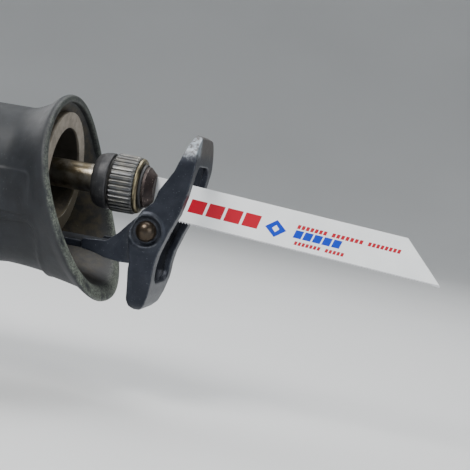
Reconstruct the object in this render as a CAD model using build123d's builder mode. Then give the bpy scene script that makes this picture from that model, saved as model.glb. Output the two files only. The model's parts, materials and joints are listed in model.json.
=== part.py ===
from build123d import *
import os
from math import asin, atan, cos, degrees, pi, radians, sin, sqrt

# A corded reciprocating saw. Millimetres. The origin is where the blade enters the nose of its
# clamp, on the spindle's axis, with the spindle at its front dead centre. +X points forward along
# the spindle, +Y to the saw's left, +Z up.

# ---------------------------------------------------------------- driving dimensions
fit_gap = 0.05            # radial clearance of shafts that turn or slide in a bush
bearing_gap = 0.03        # radial clearance of a shaft in a ball bearing
body_gap = 0.4            # clearance between other pieces that move past each other

# drive
stroke = 28.6
spindle_r = 7.0
tail_r = 4.5
jack_z = -32.0            # height of the jackshaft below the spindle
jack_r = 4.0
gear_module = 1.0
pinion_teeth = 8
gear_teeth = 32
gear_pressure = radians(25)
gear_addendum = 0.7       # stub teeth, as shares of the module
gear_dedendum = 0.95
gear_backlash = 0.12
gear_x = -188.0
gear_width = 10.0
ball_r = 4.0
yoke_x = -118.0

# blade
blade_width = 19.05
blade_thick = 0.9
blade_reach = 142.9       # from the clamp's mouth to the tip
blade_cant = 3.8          # the toothed edge dips towards the tip, degrees
tooth_pitch = 1.41
tooth_depth = 0.8
tang_length = 19.0
tang_width = 12.6

# blade clamp
clamp_core_r = 8.5
clamp_length = 30.0
collar_r = 14.2
collar_front = -8.4
collar_length = 12.4
collar_ribs = 36
bezel_thick = 1.9
sleeve_r = 13.8

# shoe
pivot_x = 3.8
pivot_z = -19.7
shoe_half_width = 22.5
lug_thick = 3.2
rivet_r = 3.5
ear_thick = 3.0
shoe_plate = 3.0
shoe_slot_half = 15.0
shoe_slot_top = 14.0
shoe_slot_low = -44.0
foot_start = -40.0        # the shoe narrows below this height
foot_half_width = 14.5
post_half_width = 17.0
post_top = -29.5
post_thick = 3.5
post_rear = -92.0
post_front = -12.0
shoe_travel_back = 4.0

# gear case and boot
ring_x = -47.0
ring_r = 30.0
mouth_r = 22.5
barrel_half_width = 34.0
barrel_top = 29.0
barrel_bottom_front = -47.0
barrel_bottom_rear = -58.0
barrel_corner = 30.0
taper_start = -52.0
taper_end = -150.0
boot_wall = 2.6
case_wall = 3.0
case_rear = -196.0
cavity_front = -106.0
lip_half_width = 51.0
lip_top = 38.5
lip_bottom = -58.3
lip_thick = 8.0
lip_rim = 7.5             # breadth of the rim's front face

# motor
motor_z = jack_z + gear_module * (pinion_teeth + gear_teeth) / 2
motor_r = 31.5
motor_wall = 3.0
plate_thick = 14.0
flange_thick = 8.0
motor_rear = -312.0
motor_shaft_r = 4.0
core_r = 17.5
core_length = 44.0
core_front = -228.0
commutator_r = 12.5
commutator_length = 16.0
commutator_front = -280.0
air_gap = 0.7

# handle
grip_half_width = 17.0
grip_round = 8.0
shell_wall = 3.0
rubber_depth = 1.5
neck_front = -300.0
neck_rear = -345.0
neck_wall = 3.5
foot_z = -104.0
foot_rear = -452.0
foot_front = -386.0
handle_top = 22.0
inlet_r = 15.0
socket_r = 12.5
inlet_z = -86.0
inlet_mouth = -466.0

# fasteners
case_screw_r = 2.0
case_screw_inset = 11.7   # from the barrel's side to the screws' axes
case_screw_head_r = 2.8
case_boss_r = 2.9
case_screw_drop = 13.9    # from the barrel's top or bottom to the screws' axes
handle_screw_r = 1.9
handle_screw_head_r = 3.4

# ---------------------------------------------------------------- worked-out places
case_rear_face = case_rear - plate_thick
flange_rear = case_rear_face - flange_thick
arm_length = -jack_z
arm_tilt = degrees(asin(stroke / 2 / arm_length))
hub_x = yoke_x - stroke / 2
case_top = barrel_top - boot_wall

os.makedirs("parts", exist_ok=True)


def keep(piece, name):
    """Label a finished piece and write its STEP file."""
    piece.part.label = name
    export_step(piece.part, f"parts/{name}.step")


def across(x, z=0.0):
    """Plane square to the spindle at x, with its origin at height z: local x is +Y, local y is +Z."""
    return Plane(origin=(x, 0, z), x_dir=(0, 1, 0), z_dir=(1, 0, 0))


def along(z):
    """The axis parallel to the spindle at height z."""
    return Axis((0, 0, z), (1, 0, 0))


def turned(profile, z=0.0):
    """A piece turned about the axis at height z from its (x, radius) outline."""
    with BuildPart() as piece:
        with BuildSketch(Plane.XZ):
            with BuildLine():
                Polyline([(x, z + r) for x, r in profile], close=True)
            make_face()
        revolve(axis=along(z))
    return piece


def ring_piece(x0, x1, inner, outer, z=0.0):
    """A plain ring or bush between x0 and x1."""
    return turned([(x0, inner), (x1, inner), (x1, outer), (x0, outer)], z)


def bearing(x0, width, inner, outer, z):
    """A shielded ball bearing: a ring with a shallow shield recess in each face."""
    recess = width * 0.12
    lip = (outer - inner) * 0.2
    x1 = x0 + width
    return turned(
        [
            (x0, inner), (x1, inner), (x1, inner + lip), (x1 - recess, inner + lip),
            (x1 - recess, outer - lip), (x1, outer - lip), (x1, outer), (x0, outer),
            (x0, outer - lip), (x0 + recess, outer - lip), (x0 + recess, inner + lip), (x0, inner + lip),
        ],
        z,
    )


def involute_lead(base, radius):
    """Angle that an involute has turned through between its base circle and a radius."""
    roll = sqrt((radius / base) ** 2 - 1)
    return roll - atan(roll)


def polar(radius, angle):
    """Point at a radius and an angle in radians."""
    return (radius * cos(angle), radius * sin(angle))


def gear_sketch(teeth, phase, plane):
    """Outline of a stub-tooth spur gear with one tooth centred at the phase angle."""
    pitch_r = gear_module * teeth / 2
    base = pitch_r * cos(gear_pressure)
    tip = pitch_r + gear_addendum * gear_module
    root = pitch_r - gear_dedendum * gear_module
    start = max(base, root)
    radii = (start, (start + tip) / 2, tip)
    half = (pi * gear_module / 2 - gear_backlash) / 2 / pitch_r + involute_lead(base, pitch_r)
    foot = half - involute_lead(base, start)
    with BuildSketch(plane) as outline:
        with BuildLine():
            for tooth in range(teeth):
                middle = phase + 2 * pi * tooth / teeth
                rising = [polar(r, middle - half + involute_lead(base, r)) for r in radii]
                falling = [polar(r, middle + half - involute_lead(base, r)) for r in reversed(radii)]
                if root < base:
                    Line(polar(root, middle - foot), rising[0])
                    Line(falling[-1], polar(root, middle + foot))
                ThreePointArc(*rising)
                ThreePointArc(rising[-1], polar(tip, middle), falling[0])
                ThreePointArc(*falling)
                ThreePointArc(
                    polar(root, middle + foot),
                    polar(root, middle + pi / teeth),
                    polar(root, middle + 2 * pi / teeth - foot),
                )
        make_face()
    return outline.sketch


def barrel_bottom(x):
    """Height of the barrel's underside, which tapers down from the nose to the gear chamber."""
    share = min(max((taper_start - x) / (taper_start - taper_end), 0), 1)
    return barrel_bottom_front + share * (barrel_bottom_rear - barrel_bottom_front)


def barrel_sketch(x, inset):
    """Barrel outline at x, drawn as a sketch of its own and moved in by the inset."""
    bottom = barrel_bottom(x)
    height = barrel_top - bottom
    with BuildSketch(across(x, (barrel_top + bottom) / 2)) as outline:
        RectangleRounded(
            2 * (barrel_half_width - inset), height - 2 * inset, barrel_corner - inset
        )
    return outline.sketch


def barrel(front, rear, inset):
    """Solid barrel between two places, tapering below and moved in by the inset."""
    with BuildPart() as body:
        if front > taper_end:
            near = max(rear, taper_end)
            loft([barrel_sketch(front, inset), barrel_sketch(near, inset)], ruled=True)
        if rear < taper_end:
            start = min(front, taper_end)
            extrude(barrel_sketch(start, inset), amount=rear - start)
    return body.part


def screw_spots():
    """The four screws that hold the gear case, bearing plate and motor housing together."""
    high = barrel_top - case_screw_drop
    low = barrel_bottom_rear + case_screw_drop
    return [(side * (barrel_half_width - case_screw_inset), z) for side in (-1, 1) for z in (high, low)]


# ---------------------------------------------------------------- blade
blade_plane = Plane(
    origin=(0, 0, 0),
    x_dir=(cos(radians(blade_cant)), 0, -sin(radians(blade_cant))),
    z_dir=(0, -1, 0),
)
blade_back = 5.95                      # the blade's back edge above its seat line
blade_edge = blade_back - blade_width
tip_slope = 19.8                       # how far the tip's sloping end runs back
pin_x = -12.0
pin_r = 2.0
shoulder_x = 1.2
tooth_start = 4.0
tooth_count = int((blade_reach - tooth_start - 3) / tooth_pitch)

with BuildPart() as blade:
    with BuildSketch(blade_plane):
        with BuildLine():
            teeth_end = tooth_start + tooth_count * tooth_pitch
            edge = [(shoulder_x, blade_edge), (tooth_start, blade_edge)]
            for tooth in range(tooth_count):
                foot = tooth_start + tooth * tooth_pitch
                edge.append((foot + 0.45 * tooth_pitch, blade_edge + tooth_depth))
                edge.append((foot + tooth_pitch, blade_edge))
            edge += [
                (blade_reach, blade_edge),
                (blade_reach - tip_slope, blade_back),
                (shoulder_x, blade_back),
                (-1.5, tang_width / 2),
                (-tang_length, tang_width / 2),
                (-tang_length, -tang_width / 2),
                (-1.5, -tang_width / 2),
            ]
            Polyline(edge, close=True)
        make_face()
    extrude(amount=blade_thick / 2, both=True)
    with BuildSketch(Plane.XZ):
        with Locations((pin_x, 0)):
            Circle(pin_r + 0.3)
    extrude(amount=blade_thick, both=True, mode=Mode.SUBTRACT)
keep(blade, "blade")

# ---------------------------------------------------------------- spindle and blade clamp
tail_rear = -165.0
yoke_half = 8.0
yoke_top = 6.5
yoke_bottom = -6.0
slot_half = ball_r + body_gap
spindle_front = -22.0
with BuildPart() as spindle:
    with BuildSketch(across(yoke_x + yoke_half)):
        Circle(spindle_r)
    extrude(amount=spindle_front - yoke_x - yoke_half)
    with BuildSketch(across(yoke_x - yoke_half)):
        with Locations((0, (yoke_top + yoke_bottom) / 2)):
            Rectangle(2 * yoke_half, yoke_top - yoke_bottom)
    extrude(amount=2 * yoke_half)
    with BuildSketch(across(tail_rear)):
        Circle(tail_r)
    extrude(amount=yoke_x - yoke_half - tail_rear)
    with BuildSketch(Plane.XZ):
        with Locations((yoke_x, yoke_bottom + (slot_half + 6.2) / 2 - 1)):
            Rectangle(2 * slot_half, slot_half + 8.2)
    extrude(amount=slot_half, both=True, mode=Mode.SUBTRACT)
    chamfer(spindle.edges().group_by(Axis.X)[0], 1)
keep(spindle, "spindle")

core_front_step = -5.0
cone_base_r = 10.0
cone_tip_r = 6.5
tang_gap = 0.15
with BuildPart() as clamp_body:
    with BuildSketch(Plane.XZ):
        with BuildLine():
            Polyline(
                (-clamp_length, 0), (-clamp_length, clamp_core_r), (core_front_step, clamp_core_r),
                (core_front_step, cone_base_r), (-3.8, cone_base_r), (-1.0, cone_tip_r + 0.9),
                (0, cone_tip_r - 0.2), (0, 0), close=True,
            )
        make_face()
    revolve(axis=Axis.X)
    with BuildSketch(across(-clamp_length)):
        Circle(spindle_r)
    extrude(amount=spindle_front + clamp_length, mode=Mode.SUBTRACT)
    with BuildSketch(Plane.XZ):
        with Locations((-tang_length / 2 - tang_gap, 0)):
            Rectangle(tang_length + 2 * tang_gap + 2, tang_width + 2.8)
    extrude(amount=blade_thick / 2 + tang_gap, both=True, mode=Mode.SUBTRACT)
    with BuildSketch(Plane.XZ.offset(1.5)):
        with Locations((pin_x, 0)):
            Circle(pin_r + fit_gap)
    extrude(amount=-(1.5 + clamp_core_r + 2), mode=Mode.SUBTRACT)
keep(clamp_body, "clamp_body")

pin_reach = 10.2
with BuildPart() as lock_pin:
    with BuildSketch(Plane.XZ.offset(blade_thick / 2 + 0.85)):
        with Locations((pin_x, 0)):
            Circle(pin_r)
    extrude(amount=-(pin_reach + blade_thick / 2 + 0.85))
    chamfer(lock_pin.edges().group_by(Axis.Y)[0], 0.4)
keep(lock_pin, "lock_pin")

collar_rear = collar_front - collar_length
groove_r = 12.9
collar_bore = clamp_core_r + fit_gap
rib_depth = 0.5
with BuildPart() as clamp_collar:
    with BuildSketch(across(collar_rear)):
        Circle(collar_r)
        Circle(collar_bore, mode=Mode.SUBTRACT)
    extrude(amount=collar_length)
    chamfer(clamp_collar.edges().filter_by(GeomType.CIRCLE).sort_by(SortBy.RADIUS)[-2:], 0.5)
    with BuildSketch(across(pin_x - 4)):
        Circle(groove_r)
        Circle(collar_bore - 0.5, mode=Mode.SUBTRACT)
    extrude(amount=7, mode=Mode.SUBTRACT)
    with BuildSketch(across(collar_rear)):
        Circle(12.2)
    extrude(amount=3.9, mode=Mode.SUBTRACT)
    with BuildSketch(across(collar_rear)):
        with PolarLocations(collar_r, collar_ribs):
            RectangleRounded(2 * rib_depth, 1.1, 0.3)
    extrude(amount=collar_length, mode=Mode.SUBTRACT)
keep(clamp_collar, "clamp_collar")

bezel_front = collar_front + bezel_thick
collar_bezel = turned([
    (collar_front, collar_bore), (bezel_front, collar_bore), (bezel_front, 12.5),
    (bezel_front - 0.7, 13.4), (collar_front, 13.6),
])
keep(collar_bezel, "collar_bezel")

clip_gap = 0.15
collar_clip = ring_piece(bezel_front + clip_gap, core_front_step, clamp_core_r, 11.0)
keep(collar_clip, "collar_clip")

sleeve_front = collar_rear - 1.0
sleeve_step_r = 12.0
sleeve_rear_r = 11.0
with BuildPart() as collar_sleeve:
    with BuildSketch(Plane.XZ):
        with BuildLine():
            Polyline(
                (-clamp_length, clamp_core_r), (sleeve_front + 0.6, clamp_core_r),
                (sleeve_front + 0.6, sleeve_step_r), (sleeve_front, sleeve_step_r),
                (sleeve_front, sleeve_r - 0.4), (sleeve_front - 0.4, sleeve_r),
            )
            Line((sleeve_front - 0.4, sleeve_r), (sleeve_front - 4, sleeve_r - 0.2))
            ThreePointArc(
                (sleeve_front - 4, sleeve_r - 0.2), (-clamp_length + 1.2, sleeve_r - 1.3),
                (-clamp_length, sleeve_rear_r),
            )
            Line((-clamp_length, sleeve_rear_r), (-clamp_length, clamp_core_r))
        make_face()
    revolve(axis=Axis.X)
keep(collar_sleeve, "collar_sleeve")

wire_r = 0.7
spring_mean_r = 10.6
with BuildPart() as collar_spring:
    with BuildLine() as coil:
        Helix(1.6, 2.0, spring_mean_r, center=(collar_rear + 0.9, 0, 0), direction=(1, 0, 0))
    with BuildSketch(Plane(origin=coil.line @ 0, z_dir=coil.line % 0)):
        Circle(wire_r)
    sweep(path=coil.line)
keep(collar_spring, "collar_spring")

# ---------------------------------------------------------------- wobble drive
hub_sphere_r = 11.0
arm_ring_r = 16.0
arm_ring_half = 4.0
arm_bore = hub_sphere_r + 0.3
arm_r = 3.5
neck_r = 2.2
tilt = radians(arm_tilt)
hub_place = (hub_x, 0, jack_z)
arm_plane = Plane(origin=hub_place, x_dir=(cos(tilt), 0, -sin(tilt)), z_dir=(0, -1, 0))
arm_axis = Axis(hub_place, (cos(tilt), 0, -sin(tilt)))
rod_axis = Axis(hub_place, (sin(tilt), 0, cos(tilt)))
neck_length = 9.0

with BuildPart() as wobble_arm:
    with BuildSketch(arm_plane):
        with Locations((0, (arm_ring_r + 9) / 2)):
            Rectangle(2 * arm_ring_half, arm_ring_r - 9)
    revolve(axis=arm_axis)
    with BuildSketch(arm_plane):
        with BuildLine():
            Polyline(
                (0, arm_ring_r - 2), (arm_r, arm_ring_r - 2), (arm_r, arm_length - neck_length - 1),
                (neck_r, arm_length - neck_length + 1), (neck_r, arm_length), (0, arm_length), close=True,
            )
        make_face()
    revolve(axis=rod_axis)
    with Locations(hub_place):
        Sphere(arm_bore, mode=Mode.SUBTRACT)
    with Locations((hub_x + arm_length * sin(tilt), 0, jack_z + arm_length * cos(tilt))):
        Sphere(ball_r)
keep(wobble_arm, "wobble_arm")

jack_front = -113.0
jack_bearing_r = 9.5
jack_bearing_width = 6.0
jack_rear = case_rear - jack_bearing_width
with BuildPart() as jackshaft:
    with BuildSketch(across(jack_rear, jack_z)):
        Circle(jack_r)
    extrude(amount=jack_front - jack_rear)
    chamfer(jackshaft.edges(), 0.5)
keep(jackshaft, "jackshaft")

hub_boss_r = 6.5
hub_boss_rear = hub_x - 17.0
hub_boss_length = 29.0
with BuildPart() as wobble_hub:
    with BuildSketch(across(hub_boss_rear, jack_z)):
        Circle(hub_boss_r)
    extrude(amount=hub_boss_length)
    with Locations(hub_place):
        Sphere(hub_sphere_r)
    with BuildSketch(across(hub_boss_rear, jack_z)):
        Circle(jack_r)
    extrude(amount=hub_boss_length, mode=Mode.SUBTRACT)
keep(wobble_hub, "wobble_hub")

gear_hub_r = 9.0
gear_hub_length = gear_width + 4.0
with BuildPart() as drive_gear:
    extrude(gear_sketch(gear_teeth, pi / 2, across(gear_x, jack_z)), amount=gear_width)
    with BuildSketch(across(gear_x, jack_z)):
        Circle(gear_hub_r)
    extrude(amount=gear_hub_length)
    with BuildSketch(across(gear_x, jack_z)):
        Circle(jack_r)
    extrude(amount=gear_hub_length, mode=Mode.SUBTRACT)
keep(drive_gear, "drive_gear")

bearing_bore = jack_r + bearing_gap
keep(
    bearing(jack_front, jack_bearing_width, bearing_bore, jack_bearing_r, jack_z),
    "jackshaft_front_bearing",
)
keep(
    bearing(case_rear - jack_bearing_width, jack_bearing_width, bearing_bore, jack_bearing_r, jack_z),
    "jackshaft_rear_bearing",
)

# ---------------------------------------------------------------- gear case
bush_front = -72.0
bush_length = 22.0
bush_r = 10.0
seal_width = 4.5
seal_r = 13.0
pocket_rear = -64.0
retainer_thick = 2.5
guide_front = -156.5
guide_length = 10.5
guide_r = 8.0
guide_web_width = 24.0
guide_web_low = -10.0
web_length = 11.0
web_width = 26.0
web_height = 29.0
post_gap = 0.3
lighten_x = -86.0
lighten_low = -24.0

spindle_bush = ring_piece(bush_front - bush_length, bush_front, spindle_r + fit_gap, bush_r)
keep(spindle_bush, "spindle_bush")
spindle_seal = ring_piece(bush_front, bush_front + seal_width, spindle_r + fit_gap + 0.03, seal_r)
keep(spindle_seal, "spindle_seal")
seal_retainer = ring_piece(pocket_rear - retainer_thick, pocket_rear, spindle_r + 1, mouth_r)
keep(seal_retainer, "seal_retainer")
rear_guide_bush = ring_piece(guide_front - guide_length, guide_front, tail_r + fit_gap, guide_r)
keep(rear_guide_bush, "rear_guide_bush")

post_low = post_top - post_thick
lever_pivot_x = -97.0
lever_pivot_z = -44.5
lever_half_width = 8.0
lever_rear = -138.0
lever_slot_half = lever_half_width + 0.6
pocket_front = -85.0          # front and back walls of the lever's pocket
pocket_back = -105.4

with BuildPart() as gearcase:
    add(barrel(taper_start, case_rear, boot_wall))
    with BuildSketch(across(taper_start - 0.5)):
        Circle(ring_r)
    extrude(amount=ring_x - taper_start + 0.5)
    # nose bore, seal seat and bush seat
    with BuildSketch(across(pocket_rear - retainer_thick)):
        Circle(mouth_r)
    extrude(amount=ring_x - pocket_rear + retainer_thick, mode=Mode.SUBTRACT)
    with BuildSketch(across(bush_front)):
        Circle(seal_r)
    extrude(amount=pocket_rear - bush_front, mode=Mode.SUBTRACT)
    with BuildSketch(across(bush_front - bush_length)):
        Circle(bush_r)
    extrude(amount=bush_length, mode=Mode.SUBTRACT)
    with BuildSketch(across(cavity_front - 1)):
        Circle(spindle_r + 1)
    extrude(amount=20, mode=Mode.SUBTRACT)
    # gear chamber
    add(barrel(cavity_front, case_rear - 1, boot_wall + case_wall), mode=Mode.SUBTRACT)
    # side pockets that lighten the nose
    for side in (-1, 1):
        with BuildSketch(Plane.XY.offset(lighten_low)):
            with Locations((lighten_x, side * (barrel_half_width - 10.5))):
                RectangleRounded(34, 7.5, 2)
        extrude(amount=36, mode=Mode.SUBTRACT)
    # web for the front bearing of the jackshaft
    with BuildSketch(across(cavity_front - web_length + 1, jack_z - 2)):
        RectangleRounded(web_width, web_height, 5)
    extrude(amount=web_length)
    with BuildSketch(across(cavity_front - web_length, jack_z)):
        Circle(jack_bearing_r)
    extrude(amount=jack_front + jack_bearing_width - cavity_front + web_length, mode=Mode.SUBTRACT)
    # web for the spindle's rear guide
    with BuildSketch(across(guide_front - guide_length)):
        with Locations((0, (case_top - case_wall + guide_web_low) / 2)):
            Rectangle(guide_web_width, case_top - case_wall - guide_web_low)
    extrude(amount=guide_length)
    with BuildSketch(across(guide_front - guide_length - 1)):
        Circle(guide_r)
    extrude(amount=guide_length + 2, mode=Mode.SUBTRACT)
    # channel of the shoe post
    with BuildSketch(across(post_rear - shoe_travel_back - 1)):
        with Locations((0, (post_top + post_low) / 2)):
            Rectangle(2 * (post_half_width + post_gap), post_thick + 2 * post_gap)
    extrude(amount=60, mode=Mode.SUBTRACT)
    # pocket of the shoe lever
    with BuildSketch(Plane.XZ):
        with BuildLine():
            Polyline(
                (pocket_front, post_low), (pocket_front, barrel_bottom_rear - 2),
                (lever_rear - 2, barrel_bottom_rear - 2), (lever_rear - 2, -52.6),
                (pocket_back, -50), (pocket_back, post_low), close=True,
            )
        make_face()
    extrude(amount=lever_slot_half, both=True, mode=Mode.SUBTRACT)
    # screw bosses
    with BuildSketch(across(case_rear)):
        with Locations(*screw_spots()):
            Circle(case_boss_r)
    extrude(amount=18)
    with BuildSketch(across(case_rear)):
        with Locations(*screw_spots()):
            Circle(case_screw_r)
    extrude(amount=14, mode=Mode.SUBTRACT)
keep(gearcase, "gearcase")

# ---------------------------------------------------------------- boot with its flared hand guard
lip_middle = (lip_top + lip_bottom) / 2
lip_half_height = (lip_top - lip_bottom) / 2
flare_start = -66.0
funnel_front = -38.0
rim_high = (-46.4, lip_top + 8)
rim_low = (-10.5, lip_bottom - 8)
rim_points = [
    rim_high, (-45.6, 34), (-42.3, 13), (-34.6, -12), (-28.4, -27), (-22.4, -40), (-16.2, -54), rim_low,
]


def rim_band(back, depth):
    """Side view of the space from the lip's rim curve, moved back, to a depth behind it."""
    front = [(x - back, z) for x, z in rim_points]
    rear = [(x - depth, z) for x, z in front]
    with BuildSketch(Plane.XZ) as band:
        with BuildLine():
            Spline(front)
            Line(front[-1], rear[-1])
            Spline(list(reversed(rear)))
            Line(rear[0], front[0])
        make_face()
    return band.sketch


def lip_sketch(x, inset):
    """Front view of the lip's outline at x, moved in by the inset."""
    with BuildSketch(across(x, lip_middle)) as outline:
        Ellipse(lip_half_width - inset, lip_half_height - inset)
    return outline.sketch


with BuildPart() as flare:
    loft([barrel_sketch(flare_start, 0.01), lip_sketch(-46, 4)], ruled=True)
    extrude(lip_sketch(-46, 4), amount=40)
    extrude(rim_band(0, 60), amount=80, both=True, mode=Mode.INTERSECT)

with BuildPart() as bead:
    extrude(lip_sketch(-70, 0), amount=65)
    extrude(rim_band(0, lip_thick), amount=80, both=True, mode=Mode.INTERSECT)

with BuildPart() as front_boot:
    add(barrel(flare_start, case_rear - 8, 0))
    add(flare.part)
    add(bead.part)
    add(barrel(taper_start, case_rear - 9, boot_wall), mode=Mode.SUBTRACT)
    # funnel inside the lip, and the seat of the gear case's nose ring
    funnel = [barrel_sketch(taper_start - 1, boot_wall), lip_sketch(funnel_front, lip_rim)]
    loft(funnel, ruled=True, mode=Mode.SUBTRACT)
    extrude(funnel[1], amount=40, mode=Mode.SUBTRACT)
    with BuildSketch(across(taper_start - 0.5)):
        Circle(ring_r)
    extrude(amount=20, mode=Mode.SUBTRACT)
    # slot for the shoe lever
    with BuildSketch(Plane.XY.offset(-62)):
        with Locations(((lever_rear - 2 + pocket_front) / 2, 0)):
            RectangleRounded(pocket_front - lever_rear + 2, 2 * lever_slot_half, 3)
    extrude(amount=24, mode=Mode.SUBTRACT)
    # raised name pad, left blank, and the grip panel below it
    for side in (-1, 1):
        with BuildSketch(Plane.XZ.offset(-side * barrel_half_width)):
            with Locations((-72, -11.5)):
                RectangleRounded(36, 20, 2.5)
        extrude(amount=1.0, both=True)
keep(front_boot, "front_boot")

# ---------------------------------------------------------------- shoe
claw = [
    (16.2, 22.5), (12.4, 10.3), (6.5, 0.0), (5.2, -5.5), (0.5, -10.1), (-2.2, -15.5), (-4.1, -20.5),
    (-3.9, -26), (-2.0, -35), (-1.8, -45.5), (-2.0, -53.2), (-1.0, -56.6), (1.4, -58.2), (4.4, -58.0),
    (6.9, -55.2), (8.6, -49.9), (9.8, -43), (10.1, -35.3), (11.0, -29.5), (14.1, -19.6), (18.0, -9.5),
    (20.2, 0.0), (21.8, 12.5), (21.6, 27.5), (18.0, 29.0),
]
shoe_low = -58.5
shoe_high = 29.2
shoe_top_round = 16.0
shoe_foot_round = 9.0
shoe_back = -12.0         # behind the whole shoe


def shoe_front(inset):
    """Front view of the shoe's outline, moved in by the inset."""
    high = shoe_high - inset
    low = shoe_low + inset
    wide = shoe_half_width - inset
    foot = foot_half_width - inset
    with BuildSketch(Plane.YZ.offset(shoe_back)) as outline:
        with BuildLine():
            Polyline(
                (-wide, high), (wide, high), (wide, foot_start), (foot, low), (-foot, low),
                (-wide, foot_start), close=True,
            )
        make_face()
        fillet(outline.vertices().sort_by(Axis.Y)[-2:], shoe_top_round - inset)
        fillet(outline.vertices().sort_by(Axis.Y)[:2], shoe_foot_round - inset)
    return outline.sketch


with BuildPart() as shoe_hollow:
    with BuildSketch(Plane.XZ):
        with BuildLine():
            Polyline([(x - shoe_plate, z + 1) for x, z in claw], close=True)
        make_face()
    extrude(amount=shoe_half_width, both=True)
    extrude(shoe_front(lug_thick), amount=44, mode=Mode.INTERSECT)

with BuildPart() as shoe:
    with BuildSketch(Plane.XZ) as claw_outline:
        with BuildLine():
            Polyline(claw, close=True)
        make_face()
        fillet(claw_outline.vertices(), 1.0)
    extrude(amount=shoe_half_width, both=True)
    # the hollow behind the face plate and between the lugs
    add(shoe_hollow.part, mode=Mode.SUBTRACT)
    extrude(shoe_front(0), amount=44, mode=Mode.INTERSECT)
    # blade slot
    with BuildSketch(Plane.YZ.offset(shoe_back)):
        with Locations((0, (shoe_slot_top + shoe_slot_low) / 2)):
            RectangleRounded(2 * shoe_slot_half, shoe_slot_top - shoe_slot_low, 6)
    extrude(amount=44, mode=Mode.SUBTRACT)
    # pivot holes
    with BuildSketch(Plane.XZ):
        with Locations((pivot_x, pivot_z)):
            Circle(rivet_r + fit_gap)
    extrude(amount=shoe_half_width + 1, both=True, mode=Mode.SUBTRACT)
keep(shoe, "shoe")

rivet_head_r = 5.0
rivet_head = 4.2
head_gap = 0.1
dome_r = (rivet_head_r**2 + rivet_head**2) / 2 / rivet_head
ear_out = shoe_half_width - lug_thick - 0.3
rivet_tail = 1.6
ear_in = ear_out - ear_thick
with BuildPart() as shoe_rivets:
    for side in (-1, 1):
        with BuildSketch(Plane.XZ.offset(-side * (ear_in - rivet_tail))):
            with Locations((pivot_x, pivot_z)):
                Circle(rivet_head_r - 0.6)
        extrude(amount=-side * rivet_tail)
        with BuildSketch(Plane.XZ.offset(-side * ear_in)):
            with Locations((pivot_x, pivot_z)):
                Circle(rivet_r)
        extrude(amount=-side * (shoe_half_width + head_gap - ear_in))
        with Locations((pivot_x, side * (shoe_half_width + head_gap + rivet_head - dome_r), pivot_z)):
            Sphere(dome_r)
    with BuildSketch(Plane.XZ):
        with Locations((pivot_x, pivot_z)):
            Rectangle(3 * dome_r, 3 * dome_r)
            Circle(rivet_r, mode=Mode.SUBTRACT)
    extrude(amount=shoe_half_width + head_gap, both=True, mode=Mode.SUBTRACT)
    for side in (-1, 1):
        with BuildSketch(Plane.XZ.offset(-side * (ear_in - rivet_tail))):
            with Locations((pivot_x, pivot_z)):
                Circle(rivet_head_r - 0.6)
        extrude(amount=-side * rivet_tail)
keep(shoe_rivets, "shoe_rivets")

with BuildPart() as shoe_bracket:
    with BuildSketch(Plane.XZ) as ear:
        with BuildLine():
            Polyline(
                (-27, post_top), (-26.4, -28.1), (-15.1, -27.3), (-9.7, -22.5), (-5.6, -17.5),
                (-1, -12.4), (pivot_x, -10.6), (7.5, -13.5), (8.6, pivot_z), (7, -24.5), (3, -30.5),
                (-3, -36.2), (-7.8, -36.4), (-14.8, -35.6), (-21.5, -33.8), (-27, post_low), close=True,
            )
        make_face()
        fillet(ear.vertices().sort_by(Axis.X)[-5:], 2)
    extrude(amount=ear_out, both=True)
    with BuildSketch(Plane.XZ) as trough:
        with BuildLine():
            Polyline((-30, post_top), (-23, post_top), (-14, -32.2), (20, -33), (20, 0), (-30, 0), close=True)
        make_face()
    extrude(amount=ear_out - ear_thick, both=True, mode=Mode.SUBTRACT)
    with BuildSketch(Plane.XZ):
        with Locations((14, -20)):
            Rectangle(24, 60)
    extrude(amount=ear_out - ear_thick, both=True, mode=Mode.SUBTRACT)
    with BuildSketch(Plane.XY.offset(post_low)):
        with Locations(((post_rear + post_front) / 2, 0)):
            Rectangle(post_front - post_rear, 2 * post_half_width)
    extrude(amount=post_thick)
    with BuildSketch(Plane.XZ):
        with Locations((pivot_x, pivot_z)):
            Circle(rivet_r)
    extrude(amount=ear_out + 1, both=True, mode=Mode.SUBTRACT)
keep(shoe_bracket, "shoe_bracket")

lever_pin_r = 2.0
foot_gap = body_gap + 0.6     # from the lever's foot to the shoe's bar
with BuildPart() as lever_pin:
    with BuildSketch(Plane.XZ):
        with Locations((lever_pivot_x, lever_pivot_z)):
            Circle(lever_pin_r)
    extrude(amount=lever_slot_half, both=True)
keep(lever_pin, "lever_pin")

with BuildPart() as shoe_lever:
    with BuildSketch(Plane.XZ) as lever_outline:
        with BuildLine():
            Polyline(
                (-92.5, -47), (-93, post_low - foot_gap), (-98.2, post_low - foot_gap - 1), (-102.5, -50.6),
                (lever_rear, -53.2), (lever_rear, -56.6), (-112, -55.4), (-94, -52.6), close=True,
            )
        make_face()
        fillet(lever_outline.vertices(), 0.8)
    extrude(amount=lever_half_width, both=True)
    with BuildSketch(Plane.XZ):
        with Locations((lever_pivot_x, lever_pivot_z)):
            Circle(lever_pin_r + fit_gap)
    extrude(amount=lever_half_width + 1, both=True, mode=Mode.SUBTRACT)
keep(shoe_lever, "shoe_lever")

# ---------------------------------------------------------------- motor
armature_bearing_width = 7.0
armature_bearing_r = 11.0
rear_bearing_r = 9.5
rear_bearing_width = 6.0
shaft_front = gear_x + gear_width + 2
with BuildPart() as armature_shaft:
    with BuildSketch(across(motor_rear + 5, motor_z)):
        Circle(motor_shaft_r)
    extrude(amount=gear_x - 4 - motor_rear - 5)
    extrude(
        gear_sketch(pinion_teeth, -pi / 2 + pi / pinion_teeth, across(gear_x - 4, motor_z)),
        amount=shaft_front - gear_x + 4,
    )
keep(armature_shaft, "armature_shaft")

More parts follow.
